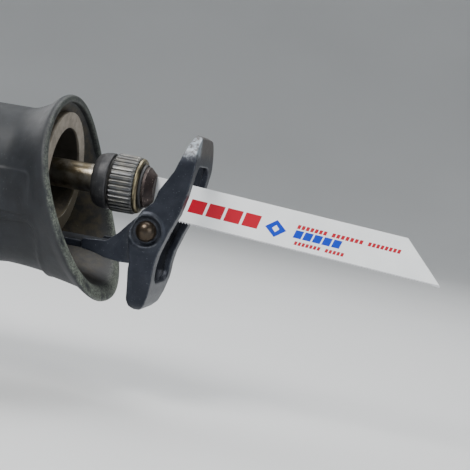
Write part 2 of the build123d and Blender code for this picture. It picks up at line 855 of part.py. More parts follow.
with BuildPart() as armature_core:
    with BuildSketch(across(core_front - core_length, motor_z)):
        Circle(core_r)
        with PolarLocations(core_r - 2.6, 12):
            SlotOverall(5.6, 2.4)
        Circle(motor_shaft_r, mode=Mode.SUBTRACT)
    extrude(amount=core_length)
    with BuildSketch(across(core_front - core_length, motor_z)):
        with PolarLocations(core_r - 1.4, 12):
            Rectangle(3.6, 1.6)
    extrude(amount=core_length, mode=Mode.SUBTRACT)
    # end windings
    for x, length in ((core_front, 5), (core_front - core_length, -5)):
        with BuildSketch(across(x, motor_z)):
            Circle(core_r - 3)
            Circle(motor_shaft_r, mode=Mode.SUBTRACT)
        extrude(amount=length)
keep(armature_core, "armature_core")

with BuildPart() as commutator:
    with BuildSketch(across(commutator_front - commutator_length, motor_z)):
        Circle(commutator_r)
        Circle(motor_shaft_r, mode=Mode.SUBTRACT)
        with PolarLocations(commutator_r, 24):
            Rectangle(1.6, 0.5, mode=Mode.SUBTRACT)
    extrude(amount=commutator_length)
keep(commutator, "commutator")

fan_x = -220.5
fan_r = 26.5
with BuildPart() as cooling_fan:
    with BuildSketch(across(fan_x, motor_z)):
        Circle(fan_r)
        Circle(motor_shaft_r, mode=Mode.SUBTRACT)
    extrude(amount=-1.6)
    with BuildSketch(across(fan_x, motor_z)):
        Circle(7)
        Circle(motor_shaft_r, mode=Mode.SUBTRACT)
    extrude(amount=6)
    with BuildSketch(across(fan_x, motor_z)):
        with PolarLocations(16, 13):
            Rectangle(19, 1.4)
    extrude(amount=6)
keep(cooling_fan, "cooling_fan")

motor_bore = motor_r - motor_wall
with BuildPart() as field_stator:
    with BuildSketch(across(core_front - core_length, motor_z)):
        Circle(motor_bore)
        Circle(core_r + air_gap, mode=Mode.SUBTRACT)
        with PolarLocations(core_r + 5.5, 2, start_angle=90):
            SlotOverall(7, 5, mode=Mode.SUBTRACT)
    extrude(amount=core_length)
    for x, length in ((core_front, 3.5), (core_front - core_length, -3.5)):
        with BuildSketch(across(x, motor_z)):
            Circle(motor_bore - 2.5)
            Circle(core_r + 2.5, mode=Mode.SUBTRACT)
            with Locations((0, 0)):
                Rectangle(12, 70, mode=Mode.SUBTRACT)
        extrude(amount=length)
keep(field_stator, "field_stator")

keep(
    bearing(
        case_rear_face, armature_bearing_width, motor_shaft_r + bearing_gap, armature_bearing_r, motor_z
    ),
    "armature_front_bearing",
)
keep(
    bearing(motor_rear + 5, rear_bearing_width, motor_shaft_r + bearing_gap, rear_bearing_r, motor_z),
    "armature_rear_bearing",
)

with BuildPart() as bearing_plate:
    extrude(barrel_sketch(case_rear, boot_wall), amount=-plate_thick)
    with BuildSketch(across(case_rear, jack_z)):
        Circle(jack_bearing_r)
    extrude(amount=-6, mode=Mode.SUBTRACT)
    with BuildSketch(across(case_rear_face, motor_z)):
        Circle(armature_bearing_r)
    extrude(amount=armature_bearing_width, mode=Mode.SUBTRACT)
    with BuildSketch(across(case_rear_face, motor_z)):
        Circle(pinion_teeth * gear_module / 2 + 1.5)
    extrude(amount=plate_thick, mode=Mode.SUBTRACT)
    with BuildSketch(across(case_rear_face)):
        with Locations(*screw_spots()):
            Circle(case_screw_r)
    extrude(amount=plate_thick, mode=Mode.SUBTRACT)
keep(bearing_plate, "bearing_plate")

vent_width = 3.0
brush_x = commutator_front - commutator_length / 2
cap_r = 7.0
cap_out = motor_r + 4.0
with BuildPart() as motor_housing:
    extrude(barrel_sketch(case_rear_face, boot_wall), amount=-flange_thick)
    with BuildSketch(across(case_rear_face, motor_z)):
        Circle(motor_r)
    extrude(amount=motor_rear - case_rear_face)
    # brush towers
    with BuildSketch(Plane.XZ):
        with Locations((brush_x, motor_z)):
            Circle(cap_r + 2)
    extrude(amount=cap_out - 1.5, both=True)
    with BuildSketch(across(case_rear_face, motor_z)):
        Circle(motor_bore)
    extrude(amount=motor_rear + 5 - case_rear_face, mode=Mode.SUBTRACT)
    # seat of the rear bearing
    with BuildSketch(across(motor_rear, motor_z)):
        Circle(rear_bearing_r + 2.5)
    extrude(amount=5 + rear_bearing_width)
    with BuildSketch(across(motor_rear + 5, motor_z)):
        Circle(rear_bearing_r)
    extrude(amount=rear_bearing_width, mode=Mode.SUBTRACT)
    # bores of the brush towers
    with BuildSketch(Plane.XZ):
        with Locations((brush_x, motor_z)):
            Circle(cap_r - 0.8)
    extrude(amount=cap_out, both=True, mode=Mode.SUBTRACT)
    # exhaust slots beside the fan
    with BuildSketch(across(fan_x - 2, motor_z)):
        with PolarLocations(motor_r, 18):
            Rectangle(12, vent_width)
    extrude(amount=9, mode=Mode.SUBTRACT)
    with BuildSketch(across(case_rear_face)):
        with Locations(*screw_spots()):
            Circle(case_screw_r)
    extrude(amount=-flange_thick, mode=Mode.SUBTRACT)
keep(motor_housing, "motor_housing")

screw_tip = case_rear + 13.0
with BuildPart() as case_screws:
    with BuildSketch(across(flange_rear)):
        with Locations(*screw_spots()):
            Circle(case_screw_r)
    extrude(amount=screw_tip - flange_rear)
    with BuildSketch(across(flange_rear)):
        with Locations(*screw_spots()):
            Circle(case_screw_head_r)
    extrude(amount=-2.6)
    with BuildSketch(across(flange_rear - 2.6)):
        with Locations(*screw_spots()):
            RegularPolygon(1.6, 6)
    extrude(amount=1.4, mode=Mode.SUBTRACT)
keep(case_screws, "case_screws")

brush_half = 3.0
brush_deep = 5.0
brush_inner = commutator_r + 0.15
with BuildPart() as brushes:
    for side in (-1, 1):
        with BuildSketch(Plane.XZ.offset(-side * brush_inner)):
            with Locations((brush_x, motor_z)):
                Rectangle(2 * brush_deep, 2 * brush_half)
        extrude(amount=-side * 10)
keep(brushes, "brushes")

with BuildPart() as brush_holders:
    for side in (-1, 1):
        with BuildSketch(Plane.XZ.offset(-side * (commutator_r + 2))):
            with Locations((brush_x, motor_z)):
                Circle(cap_r - 0.8)
                Rectangle(2 * brush_deep, 2 * brush_half, mode=Mode.SUBTRACT)
        extrude(amount=-side * 15)
keep(brush_holders, "brush_holders")

with BuildPart() as brush_springs:
    for side in (-1, 1):
        with BuildSketch(Plane.XZ.offset(-side * (brush_inner + 10))):
            with Locations((brush_x, motor_z)):
                Circle(2.6)
                Circle(1.7, mode=Mode.SUBTRACT)
        extrude(amount=-side * (cap_out - 4 - brush_inner - 10))
keep(brush_springs, "brush_springs")

with BuildPart() as brush_caps:
    for side in (-1, 1):
        with BuildSketch(Plane.XZ.offset(-side * (cap_out - 4))):
            with Locations((brush_x, motor_z)):
                Circle(cap_r - 0.8)
        extrude(amount=-side * 2.5)
        with BuildSketch(Plane.XZ.offset(-side * (cap_out - 1.5))):
            with Locations((brush_x, motor_z)):
                Circle(cap_r + 1)
        extrude(amount=-side * 2.2)
        with BuildSketch(Plane.XZ.offset(-side * (cap_out - 0.5))):
            with Locations((brush_x, motor_z)):
                Rectangle(11, 1.6)
        extrude(amount=-side * 2, mode=Mode.SUBTRACT)
keep(brush_caps, "brush_caps")

# ---------------------------------------------------------------- handle
loop_outline = [
    (neck_front, handle_top), (-358, handle_top), (-404, 12), (-430, -12), (-440, -50), (foot_rear, -72),
    (foot_rear, foot_z), (foot_front, foot_z), (-324, -48), (neck_front, -48),
]
grip_opening = [(-352, -7), (-391, -9), (-410, -82), (-398, -87), (-352, -50)]


def loop_solid(inset, half_width, rounding):
    """Solid D-shaped handle, moved in by the inset, with rounded edges."""
    with BuildPart() as loop:
        with BuildSketch(Plane.XZ) as outline:
            with BuildLine():
                Polyline(loop_outline, close=True)
            make_face()
            fillet(outline.vertices().group_by(Axis.X)[0], 6)
            bends = outline.vertices().filter_by_position(Axis.X, -445, -335)
            fillet(bends.filter_by_position(Axis.Z, -105, 30), 14)
            offset(amount=-inset)
        extrude(amount=half_width, both=True)
        with BuildSketch(Plane.XZ) as opening:
            with BuildLine():
                Polyline(grip_opening, close=True)
            make_face()
            fillet(opening.vertices(), 6)
            offset(amount=inset)
        extrude(amount=half_width, both=True, mode=Mode.SUBTRACT)
        if rounding:
            sides = loop.faces().filter_by(Axis.Y)
            fillet(sides.edges(), rounding)
    return loop.part


outer_loop = loop_solid(0, grip_half_width, grip_round)
rubber_bed = loop_solid(rubber_depth, grip_half_width - rubber_depth, grip_round - rubber_depth)
hollow_loop = loop_solid(shell_wall, grip_half_width - shell_wall, 0)

trigger_half_width = 6.5
dial_x = -374.0
dial_z = 15.5
dial_r = 10.5
dial_half_width = 3.5
dial_pin_r = 1.6
lock_x = -418.0
lock_z = -68.0
lock_r = 5.0
hood_bore = motor_r
hood_r = hood_bore + neck_wall
inlet_inner = -440.0
inlet_step = -458.0
inlet_floor = -446.0
socket_inner_r = 10.5
collar_wall = 2.0
handle_screw_spots = [(-352, 9), (-334, -36), (-372, -78), (-404, 1.5), (-425, -90)]
boss_r = 4.4
head_face = 13.0
trigger_outline = [(-382.5, -14.5), (-389.5, -30), (-394.0, -56), (-414, -56), (-412, -20), (-404, -14.5)]

with BuildPart() as handle_body:
    add(outer_loop)
    with BuildSketch(across(neck_rear, motor_z)):
        Circle(hood_r)
    extrude(amount=neck_front - neck_rear)
    with BuildSketch(across(inlet_mouth, inlet_z)):
        Circle(inlet_r + collar_wall)
    extrude(amount=foot_rear - inlet_mouth + 8)

with BuildPart() as grip_region:
    with BuildSketch(Plane.XZ):
        with BuildLine():
            Polyline((-403, 20), (-412, -8), (-428, -84), (-470, -84), (-470, 20), close=True)
        make_face()
    extrude(amount=grip_half_width + 5, both=True)

with BuildPart() as grip_overmould:
    add(outer_loop)
    add(grip_region.part, mode=Mode.INTERSECT)
    add(rubber_bed, mode=Mode.SUBTRACT)
    with BuildSketch(across(inlet_mouth, inlet_z)):
        Circle(inlet_r + collar_wall)
    extrude(amount=40, mode=Mode.SUBTRACT)
keep(grip_overmould, "grip_overmould")

with BuildPart() as handle_shell:
    add(handle_body.part)
    add(grip_overmould.part, mode=Mode.SUBTRACT)
    add(hollow_loop, mode=Mode.SUBTRACT)
    with BuildSketch(across(neck_rear + shell_wall, motor_z)):
        Circle(hood_bore)
    extrude(amount=neck_front - neck_rear, mode=Mode.SUBTRACT)
    # bosses of the shell screws and of the speed dial
    with BuildSketch(Plane.XZ):
        with Locations(*handle_screw_spots):
            Circle(boss_r)
        with Locations((dial_x, dial_z)):
            Circle(dial_pin_r + 1.6)
    extrude(amount=grip_half_width - 1, both=True)
    with BuildSketch(Plane.XZ):
        with Locations(*handle_screw_spots):
            Circle(handle_screw_r)
        with Locations((dial_x, dial_z)):
            Circle(dial_pin_r + fit_gap)
    extrude(amount=head_face, both=True, mode=Mode.SUBTRACT)
    with BuildSketch(Plane.XZ.offset(head_face)):
        with Locations(*handle_screw_spots):
            Circle(handle_screw_head_r)
    extrude(amount=20, mode=Mode.SUBTRACT)
    # openings for the dial, the trigger, the lock button and the inlet
    with BuildSketch(Plane.XZ):
        with Locations((dial_x, dial_z)):
            Circle(dial_r + body_gap)
    extrude(amount=dial_half_width + body_gap, both=True, mode=Mode.SUBTRACT)
    with BuildSketch(Plane.XZ):
        with BuildLine():
            Polyline((-380, -14), (-380, -56.5), (-423, -56.5), (-423, -14), close=True)
        make_face()
    extrude(amount=trigger_half_width + body_gap, both=True, mode=Mode.SUBTRACT)
    with BuildSketch(Plane.XZ):
        with Locations((lock_x, lock_z)):
            Circle(lock_r + fit_gap)
    extrude(amount=-(grip_half_width + 1), mode=Mode.SUBTRACT)
    with BuildSketch(across(inlet_mouth, inlet_z)):
        Circle(inlet_r)
    extrude(amount=inlet_inner - inlet_mouth, mode=Mode.SUBTRACT)

with BuildPart() as handle_left:
    add(handle_shell.part)
    split(bisect_by=Plane.XZ, keep=Keep.BOTTOM)
keep(handle_left, "handle_left")

with BuildPart() as handle_right:
    add(handle_shell.part)
    split(bisect_by=Plane.XZ, keep=Keep.TOP)
keep(handle_right, "handle_right")

with BuildPart() as handle_screws:
    with BuildSketch(Plane.XZ.offset(-head_face + 1)):
        with Locations(*handle_screw_spots):
            Circle(handle_screw_r)
    extrude(amount=2 * head_face - 1)
    with BuildSketch(Plane.XZ.offset(head_face)):
        with Locations(*handle_screw_spots):
            Circle(handle_screw_head_r)
    extrude(amount=2.4)
    with BuildSketch(Plane.XZ.offset(head_face + 2.4)):
        with Locations(*handle_screw_spots):
            RegularPolygon(1.9, 6)
    extrude(amount=-1.4, mode=Mode.SUBTRACT)
keep(handle_screws, "handle_screws")

with BuildPart() as trigger:
    with BuildSketch(Plane.XZ) as trigger_side:
        with BuildLine():
            Polyline(trigger_outline, close=True)
        make_face()
        fillet(trigger_side.vertices(), 1.5)
    extrude(amount=trigger_half_width, both=True)
    fillet(trigger.edges().filter_by(Axis.Y, reverse=True).group_by(Axis.X)[-1], 1.5)
keep(trigger, "trigger")

switch_front = -422.6
with BuildPart() as trigger_switch:
    with BuildSketch(Plane.XZ):
        with Locations((switch_front - 3.4, -43)):
            Rectangle(6.8, 26)
    extrude(amount=9, both=True)
keep(trigger_switch, "trigger_switch")

with BuildPart() as trigger_spring:
    with BuildLine() as trigger_coil:
        Helix(1.7, 7.4, 2.6, center=(switch_front + 0.5, 0, -40), direction=(1, 0, 0))
    with BuildSketch(Plane(origin=trigger_coil.line @ 0, z_dir=trigger_coil.line % 0)):
        Circle(0.4)
    sweep(path=trigger_coil.line)
keep(trigger_spring, "trigger_spring")

with BuildPart() as lock_button:
    with BuildSketch(Plane.XZ.offset(-8)):
        with Locations((lock_x, lock_z)):
            Circle(lock_r)
    extrude(amount=-(grip_half_width + 3.2 - 8))
    fillet(lock_button.edges().group_by(Axis.Y)[-1], 1.2)
keep(lock_button, "lock_button")

with BuildPart() as speed_dial:
    with BuildSketch(Plane.XZ) as dial_side:
        with Locations((dial_x, dial_z)):
            Circle(dial_r)
            with PolarLocations(dial_r + 0.4, 24):
                Circle(0.9, mode=Mode.SUBTRACT)
    extrude(amount=dial_half_width, both=True)
    with BuildSketch(Plane.XZ):
        with Locations((dial_x, dial_z)):
            Circle(dial_pin_r)
    extrude(amount=head_face - 2, both=True)
keep(speed_dial, "speed_dial")

with BuildPart() as cord_inlet:
    with BuildSketch(across(inlet_mouth, inlet_z)):
        Circle(inlet_r)
    extrude(amount=inlet_inner - inlet_mouth)
    with BuildSketch(across(inlet_mouth, inlet_z)):
        Circle(socket_r)
    extrude(amount=inlet_step - inlet_mouth, mode=Mode.SUBTRACT)
    with BuildSketch(across(inlet_mouth, inlet_z)):
        Circle(socket_inner_r)
    extrude(amount=inlet_floor - inlet_mouth, mode=Mode.SUBTRACT)
keep(cord_inlet, "cord_inlet")

with BuildPart() as inlet_pins:
    with BuildSketch(across(inlet_floor, inlet_z)):
        with GridLocations(11, 0, 2, 1):
            Rectangle(1.5, 6)
    extrude(amount=-10)
keep(inlet_pins, "inlet_pins")
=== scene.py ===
"""Looks of a corded reciprocating saw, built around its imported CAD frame.

Lengths in the sizes of the classes are millimetres in the row frame: the origin is the mouth of the
blade slot, +X points forward along the spindle, +Y to the saw's left and +Z up.
"""

import json
import logging
import math
from dataclasses import dataclass
from enum import Enum

import bpy
import numpy as np
from mathutils import Matrix, Vector

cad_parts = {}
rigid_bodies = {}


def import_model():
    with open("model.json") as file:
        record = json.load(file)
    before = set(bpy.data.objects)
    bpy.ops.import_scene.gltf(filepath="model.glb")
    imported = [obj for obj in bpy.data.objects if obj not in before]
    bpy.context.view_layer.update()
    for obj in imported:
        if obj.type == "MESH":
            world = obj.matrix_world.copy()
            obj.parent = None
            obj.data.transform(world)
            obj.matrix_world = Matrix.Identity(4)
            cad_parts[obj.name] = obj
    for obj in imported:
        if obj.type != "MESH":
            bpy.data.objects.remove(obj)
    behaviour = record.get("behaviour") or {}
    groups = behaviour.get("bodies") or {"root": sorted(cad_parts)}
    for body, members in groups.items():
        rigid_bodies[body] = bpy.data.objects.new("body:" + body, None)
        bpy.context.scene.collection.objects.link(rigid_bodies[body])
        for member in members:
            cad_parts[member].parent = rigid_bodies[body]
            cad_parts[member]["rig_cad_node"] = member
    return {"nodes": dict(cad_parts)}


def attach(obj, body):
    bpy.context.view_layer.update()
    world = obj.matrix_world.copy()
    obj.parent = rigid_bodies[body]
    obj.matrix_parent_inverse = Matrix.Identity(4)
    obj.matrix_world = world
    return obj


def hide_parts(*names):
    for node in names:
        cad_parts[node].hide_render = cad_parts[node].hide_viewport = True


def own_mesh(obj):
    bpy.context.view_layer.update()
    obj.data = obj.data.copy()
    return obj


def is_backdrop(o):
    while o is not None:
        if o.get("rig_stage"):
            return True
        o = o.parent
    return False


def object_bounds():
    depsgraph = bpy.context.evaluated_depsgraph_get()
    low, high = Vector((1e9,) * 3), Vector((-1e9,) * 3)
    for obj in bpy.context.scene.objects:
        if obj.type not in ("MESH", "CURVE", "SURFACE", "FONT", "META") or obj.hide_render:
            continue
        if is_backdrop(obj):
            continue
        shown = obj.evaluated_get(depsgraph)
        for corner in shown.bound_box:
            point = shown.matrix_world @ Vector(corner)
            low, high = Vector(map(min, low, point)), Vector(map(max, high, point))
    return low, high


MM = 0.001
LOG = logging.getLogger("saw")

Colour = tuple[float, float, float]
Point = tuple[float, float]
Rows = list[np.ndarray]


# ------------------------------------------------------------------ shader graphs


class Lay(Enum):
    """Direction that the fine marks of a surface run in."""

    NONE = (1.0, 1.0, 1.0)
    ALONG = (0.06, 1.0, 1.0)
    AROUND = (1.0, 0.08, 0.08)


class Graph:
    """A shader node tree that is being wired together."""

    def __init__(self, name: str) -> None:
        """Start a material with one principled shader.

        Args:
            name: Name of the new material.
        """
        self.material = bpy.data.materials.new(name)
        self.material.use_nodes = True
        self.tree = self.material.node_tree
        self.tree.nodes.clear()
        output = self.tree.nodes.new("ShaderNodeOutputMaterial")
        self.shader = self.tree.nodes.new("ShaderNodeBsdfPrincipled")
        self.tree.links.new(self.shader.outputs[0], output.inputs["Surface"])
        self.coordinates = self.tree.nodes.new("ShaderNodeTexCoord").outputs["Object"]
        self.geometry = self.tree.nodes.new("ShaderNodeNewGeometry")

    def feed(self, socket: bpy.types.NodeSocket, value: object) -> None:
        """Link a socket to another one, or set its value.

        Args:
            socket: Input to feed.
            value: Output socket, number or colour.
        """
        if isinstance(value, bpy.types.NodeSocket):
            self.tree.links.new(value, socket)
        elif isinstance(value, tuple) and len(value) == 3 and socket.type == "RGBA":
            socket.default_value = (*value, 1.0)
        else:
            socket.default_value = value

    def math(
        self, kind: str, first: object, second: object = 0.0, clamp: bool = False
    ) -> bpy.types.NodeSocket:
        """Add an arithmetic node.

        Args:
            kind: Blender's name of the operation.
            first: First operand.
            second: Second operand.
            clamp: Whether the result is kept from 0 to 1.

        Returns:
            The result's socket.
        """
        node = self.tree.nodes.new("ShaderNodeMath")
        node.operation = kind
        node.use_clamp = clamp
        self.feed(node.inputs[0], first)
        self.feed(node.inputs[1], second)
        return node.outputs[0]

    def times(self, first: object, second: object) -> bpy.types.NodeSocket:
        """Product of two values."""
        return self.math("MULTIPLY", first, second)

    def most(self, first: object, second: object) -> bpy.types.NodeSocket:
        """Larger of two values."""
        return self.math("MAXIMUM", first, second)

    def band(self, value: object, low: float, high: float) -> bpy.types.NodeSocket:
        """Smooth step of a value from 0 at low to 1 at high; low may be the larger.

        Args:
            value: Value to map.
            low: Value that gives 0.
            high: Value that gives 1.

        Returns:
            The step's socket.
        """
        node = self.tree.nodes.new("ShaderNodeMapRange")
        node.interpolation_type = "SMOOTHSTEP"
        self.feed(node.inputs["Value"], value)
        if low <= high:
            self.feed(node.inputs["From Min"], low)
            self.feed(node.inputs["From Max"], high)
            return node.outputs[0]
        self.feed(node.inputs["From Min"], high)
        self.feed(node.inputs["From Max"], low)
        return self.math("SUBTRACT", 1.0, node.outputs[0])

    def spread(self, value: object, low: float, high: float) -> bpy.types.NodeSocket:
        """Linear map of a value from 0 to 1 onto low to high.

        Args:
            value: Value to map.
            low: Result at 0.
            high: Result at 1.

        Returns:
            The mapped value's socket.
        """
        node = self.tree.nodes.new("ShaderNodeMapRange")
        self.feed(node.inputs["Value"], value)
        self.feed(node.inputs["To Min"], low)
        self.feed(node.inputs["To Max"], high)
        return node.outputs[0]

    def between(self, value: object, low: float, high: float, soft: float = 0.05) -> bpy.types.NodeSocket:
        """Mask that is 1 where a value lies between two numbers.

        Args:
            value: Value to test.
            low: Lower edge.
            high: Upper edge.
            soft: Half-width of the soft edge.

        Returns:
            The mask's socket.
        """
        above = self.band(value, low - soft, low + soft)
        return self.times(above, self.band(value, high + soft, high - soft))

    def mix(self, share: object, first: object, second: object) -> bpy.types.NodeSocket:
        """Blend two colours.

        Args:
            share: Share of the second colour.
            first: First colour or socket.
            second: Second colour or socket.

        Returns:
            The colour's socket.
        """
        node = self.tree.nodes.new("ShaderNodeMix")
        node.data_type = "RGBA"
        self.feed(node.inputs["Factor"], share)
        self.feed(node.inputs[6], first)
        self.feed(node.inputs[7], second)
        return node.outputs[2]

    def axes(self) -> tuple[bpy.types.NodeSocket, bpy.types.NodeSocket, bpy.types.NodeSocket]:
        """Position on the object in millimetres.

        Returns:
            The x, y and z sockets.
        """
        node = self.tree.nodes.new("ShaderNodeSeparateXYZ")
        scale = self.tree.nodes.new("ShaderNodeVectorMath")
        scale.operation = "SCALE"
        self.feed(scale.inputs[0], self.coordinates)
        scale.inputs["Scale"].default_value = 1 / MM
        self.feed(node.inputs[0], scale.outputs[0])
        return node.outputs[0], node.outputs[1], node.outputs[2]

    def noise(self, size: float, detail: float = 3.0, rough: float = 0.55, lay: Lay = Lay.NONE,
              shift: float = 0.0) -> bpy.types.NodeSocket:
        """Add fractal noise on the object's own coordinates.

        Args:
            size: Size of the largest features.
            detail: Number of finer layers.
            rough: Strength of the finer layers.
            lay: Direction that the features are drawn out in.
            shift: Offset that makes one noise differ from another.

        Returns:
            The noise's socket, about 0.5 on average.
        """
        mapping = self.tree.nodes.new("ShaderNodeMapping")
        mapping.inputs["Scale"].default_value = lay.value
        mapping.inputs["Location"].default_value = (shift, shift * 0.7, shift * 1.3)
        self.feed(mapping.inputs["Vector"], self.coordinates)
        node = self.tree.nodes.new("ShaderNodeTexNoise")
        node.inputs["Scale"].default_value = 1 / (size * MM)
        node.inputs["Detail"].default_value = detail
        node.inputs["Roughness"].default_value = rough
        self.feed(node.inputs["Vector"], mapping.outputs[0])
        return node.outputs["Fac"]

    def edges(self, reach: float) -> bpy.types.NodeSocket:
        """Mask of the edges within a reach, from the rounded normal.

        Args:
            reach: Distance from the edges.

        Returns:
            The mask's socket.
        """
        rounded = self.rounded(reach)
        node = self.tree.nodes.new("ShaderNodeVectorMath")
        node.operation = "DOT_PRODUCT"
        self.feed(node.inputs[0], rounded)
        self.feed(node.inputs[1], self.geometry.outputs["Normal"])
        return self.band(node.outputs["Value"], 0.995, 0.86)

    def rounded(self, reach: float) -> bpy.types.NodeSocket:
        """Normal that runs smoothly round edges.

        Args:
            reach: Distance from the edges.

        Returns:
            The normal's socket.
        """
        node = self.tree.nodes.new("ShaderNodeBevel")
        node.samples = 6
        node.inputs["Radius"].default_value = reach * MM
        return node.outputs[0]

    def crest(self, low: float = 0.52, high: float = 0.60) -> bpy.types.NodeSocket:
        """Mask of the crests of a dense mesh."""
        return self.band(self.geometry.outputs["Pointiness"], low, high)

    def hollow(self, reach: float) -> bpy.types.NodeSocket:
        """Mask of the hollows, where dust settles.

        Args:
            reach: Distance at which a facing wall still counts.

        Returns:
            The mask's socket.
        """
        node = self.tree.nodes.new("ShaderNodeAmbientOcclusion")
        node.samples = 6
        node.inputs["Distance"].default_value = reach * MM
        return self.band(node.outputs["AO"], 0.95, 0.45)

    def facing_up(self) -> bpy.types.NodeSocket:
        """Mask of the surfaces that face upwards.

        Returns:
            The mask's socket.
        """
        node = self.tree.nodes.new("ShaderNodeSeparateXYZ")
        self.feed(node.inputs[0], self.geometry.outputs["Normal"])
        return self.band(node.outputs[2], 0.1, 0.95)

    def painted(self, attribute: str) -> bpy.types.NodeSocket:
        """Value that the mesh carries under a name.

        Args:
            attribute: Name of the value.

        Returns:
            The value's socket.
        """
        node = self.tree.nodes.new("ShaderNodeAttribute")
        node.attribute_name = attribute
        return node.outputs["Fac"]

    def bump(self, height: object, depth: float, below: object = None) -> bpy.types.NodeSocket:
        """Add a relief.

        Args:
            height: Height from 0 to 1.
            depth: Depth of the relief.
            below: Normal that the relief stands on.

        Returns:
            The relief's normal.
        """
        node = self.tree.nodes.new("ShaderNodeBump")
        node.inputs["Distance"].default_value = depth * MM
        self.feed(node.inputs["Height"], height)
        if below is not None:
            self.feed(node.inputs["Normal"], below)
        return node.outputs[0]


# ------------------------------------------------------------------ finishes


@dataclass(frozen=True)
class Finish:
    """A worn surface: a mottled ground with grain, dust, bare edges and a roughness of its own."""

    name: str
    slot: str
    ground: Colour
    mottle: Colour
    mottle_size: float = 9.0
    metallic: float = 0.0
    rough_low: float = 0.4
    rough_high: float = 0.6
    grain_size: float = 0.5
    grain_depth: float = 0.03
    lay: Lay = Lay.NONE
    swell_depth: float = 0.0
    bare: Colour = (0.5, 0.5, 0.5)
    bare_amount: float = 0.0
    bare_reach: float = 0.6
    bare_metallic: float = 0.0
    dust: Colour = (0.30, 0.28, 0.24)
    dust_amount: float = 0.0
    speck: Colour = (0.4, 0.4, 0.38)
    speck_amount: float = 0.0
    specular: float = 0.5
    coat: float = 0.0
    dense: bool = False

    def colour(self, graph: Graph) -> object:
        """Ground colour, before wear and dust.

        Args:
            graph: Graph to build in.

        Returns:
            The colour's socket.
        """
        patches = graph.band(graph.noise(self.mottle_size, 4.0, 0.6), 0.35, 0.68)
        return graph.mix(patches, self.ground, self.mottle)

    def worn(self, graph: Graph) -> object:
        """Mask of the bare edges, broken up by noise.

        Args:
            graph: Graph to build in.

        Returns:
            The mask's socket.
        """
        found = graph.crest() if self.dense else graph.edges(self.bare_reach)
        broken = graph.band(graph.noise(2.2, 4.0, 0.7, shift=3.1), 0.40, 0.62)
        return graph.math("MULTIPLY", graph.times(found, broken), self.bare_amount, clamp=True)

    def material(self) -> bpy.types.Material:
        """Build the material.

        Returns:
            The finished material.
        """
        graph = Graph(self.name)
        shader = graph.shader
        grain = graph.noise(self.grain_size, 3.0, 0.65, self.lay, 1.7)
        colour = self.colour(graph)
        metallic: object = self.metallic
        if self.speck_amount:
            specks = graph.band(graph.noise(0.9, 2.0, 0.6, shift=7.7), 0.66, 0.74)
            colour = graph.mix(graph.times(specks, self.speck_amount), colour, self.speck)
        if self.bare_amount:
            worn = self.worn(graph)
            colour = graph.mix(worn, colour, self.bare)
            if self.bare_metallic != self.metallic:
                metallic = graph.spread(worn, self.metallic, self.bare_metallic)
        rough: object = graph.spread(
            graph.noise(self.mottle_size * 0.45, 4.0, 0.7, shift=5.2), self.rough_low, self.rough_high
        )
        if self.dust_amount:
            settled = graph.most(graph.times(graph.facing_up(), 0.55), graph.hollow(4.0))
            cloud = graph.band(graph.noise(6.0, 5.0, 0.7, shift=9.3), 0.30, 0.75)
            settled = graph.times(graph.times(settled, cloud), self.dust_amount)
            colour = graph.mix(settled, colour, self.dust)
            rough = graph.math("ADD", rough, graph.times(settled, 0.3), clamp=True)
            if not isinstance(metallic, float) or metallic:
                metallic = graph.times(metallic, graph.math("SUBTRACT", 1.0, settled))
        normal = None if self.dense else graph.rounded(min(self.bare_reach, 0.5))
        if self.swell_depth:
            normal = graph.bump(graph.noise(4.5, 2.0, 0.5, shift=2.4), self.swell_depth, normal)
        normal = graph.bump(grain, self.grain_depth, normal)
        graph.feed(shader.inputs["Base Color"], colour)
        graph.feed(shader.inputs["Metallic"], metallic)
        graph.feed(shader.inputs["Roughness"], rough)
        graph.feed(shader.inputs["Normal"], normal)
        shader.inputs["Specular IOR Level"].default_value = self.specular
        shader.inputs["Coat Weight"].default_value = self.coat
        shader.inputs["Coat Roughness"].default_value = 0.25
        return graph.material


@dataclass(frozen=True)
class BootRubber(Finish):
    """Moulded rubber of the boot: dusty outside, scuffed pale along the lip and brown in the funnel."""

    scuff: Colour = (0.195, 0.215, 0.175)
    scuff_dark: Colour = (0.040, 0.046, 0.040)
    funnel: Colour = (0.040, 0.030, 0.014)
    funnel_dark: Colour = (0.010, 0.009, 0.007)

    def colour(self, graph: Graph) -> object:
        """Rubber with its scuffed rim and dirty funnel.

        Args:
            graph: Graph to build in.

        Returns:
            The colour's socket.
        """
        ground = super().colour(graph)
        haze = graph.band(graph.noise(38.0, 3.0, 0.5, shift=11.0), 0.35, 0.75)
        ground = graph.mix(graph.times(haze, 0.30), ground, (0.036, 0.040, 0.044))
        speckle = graph.band(graph.noise(0.8, 3.0, 0.75, shift=4.4), 0.42, 0.58)
        clouds = graph.band(graph.noise(7.0, 4.0, 0.65, shift=8.1), 0.28, 0.55)
        scuffed = graph.mix(speckle, self.scuff_dark, self.scuff)
        _, _, height = graph.axes()
        low = graph.spread(graph.band(height, 20.0, -20.0), 0.35, 1.0)
        rim = graph.times(graph.times(graph.painted("rim"), clouds), low)
        ground = graph.mix(rim, ground, scuffed)
        grime = graph.band(graph.noise(5.0, 4.0, 0.7, shift=6.5), 0.35, 0.65)
        inside = graph.mix(grime, self.funnel_dark, self.funnel)
        return graph.mix(graph.painted("funnel"), ground, inside)


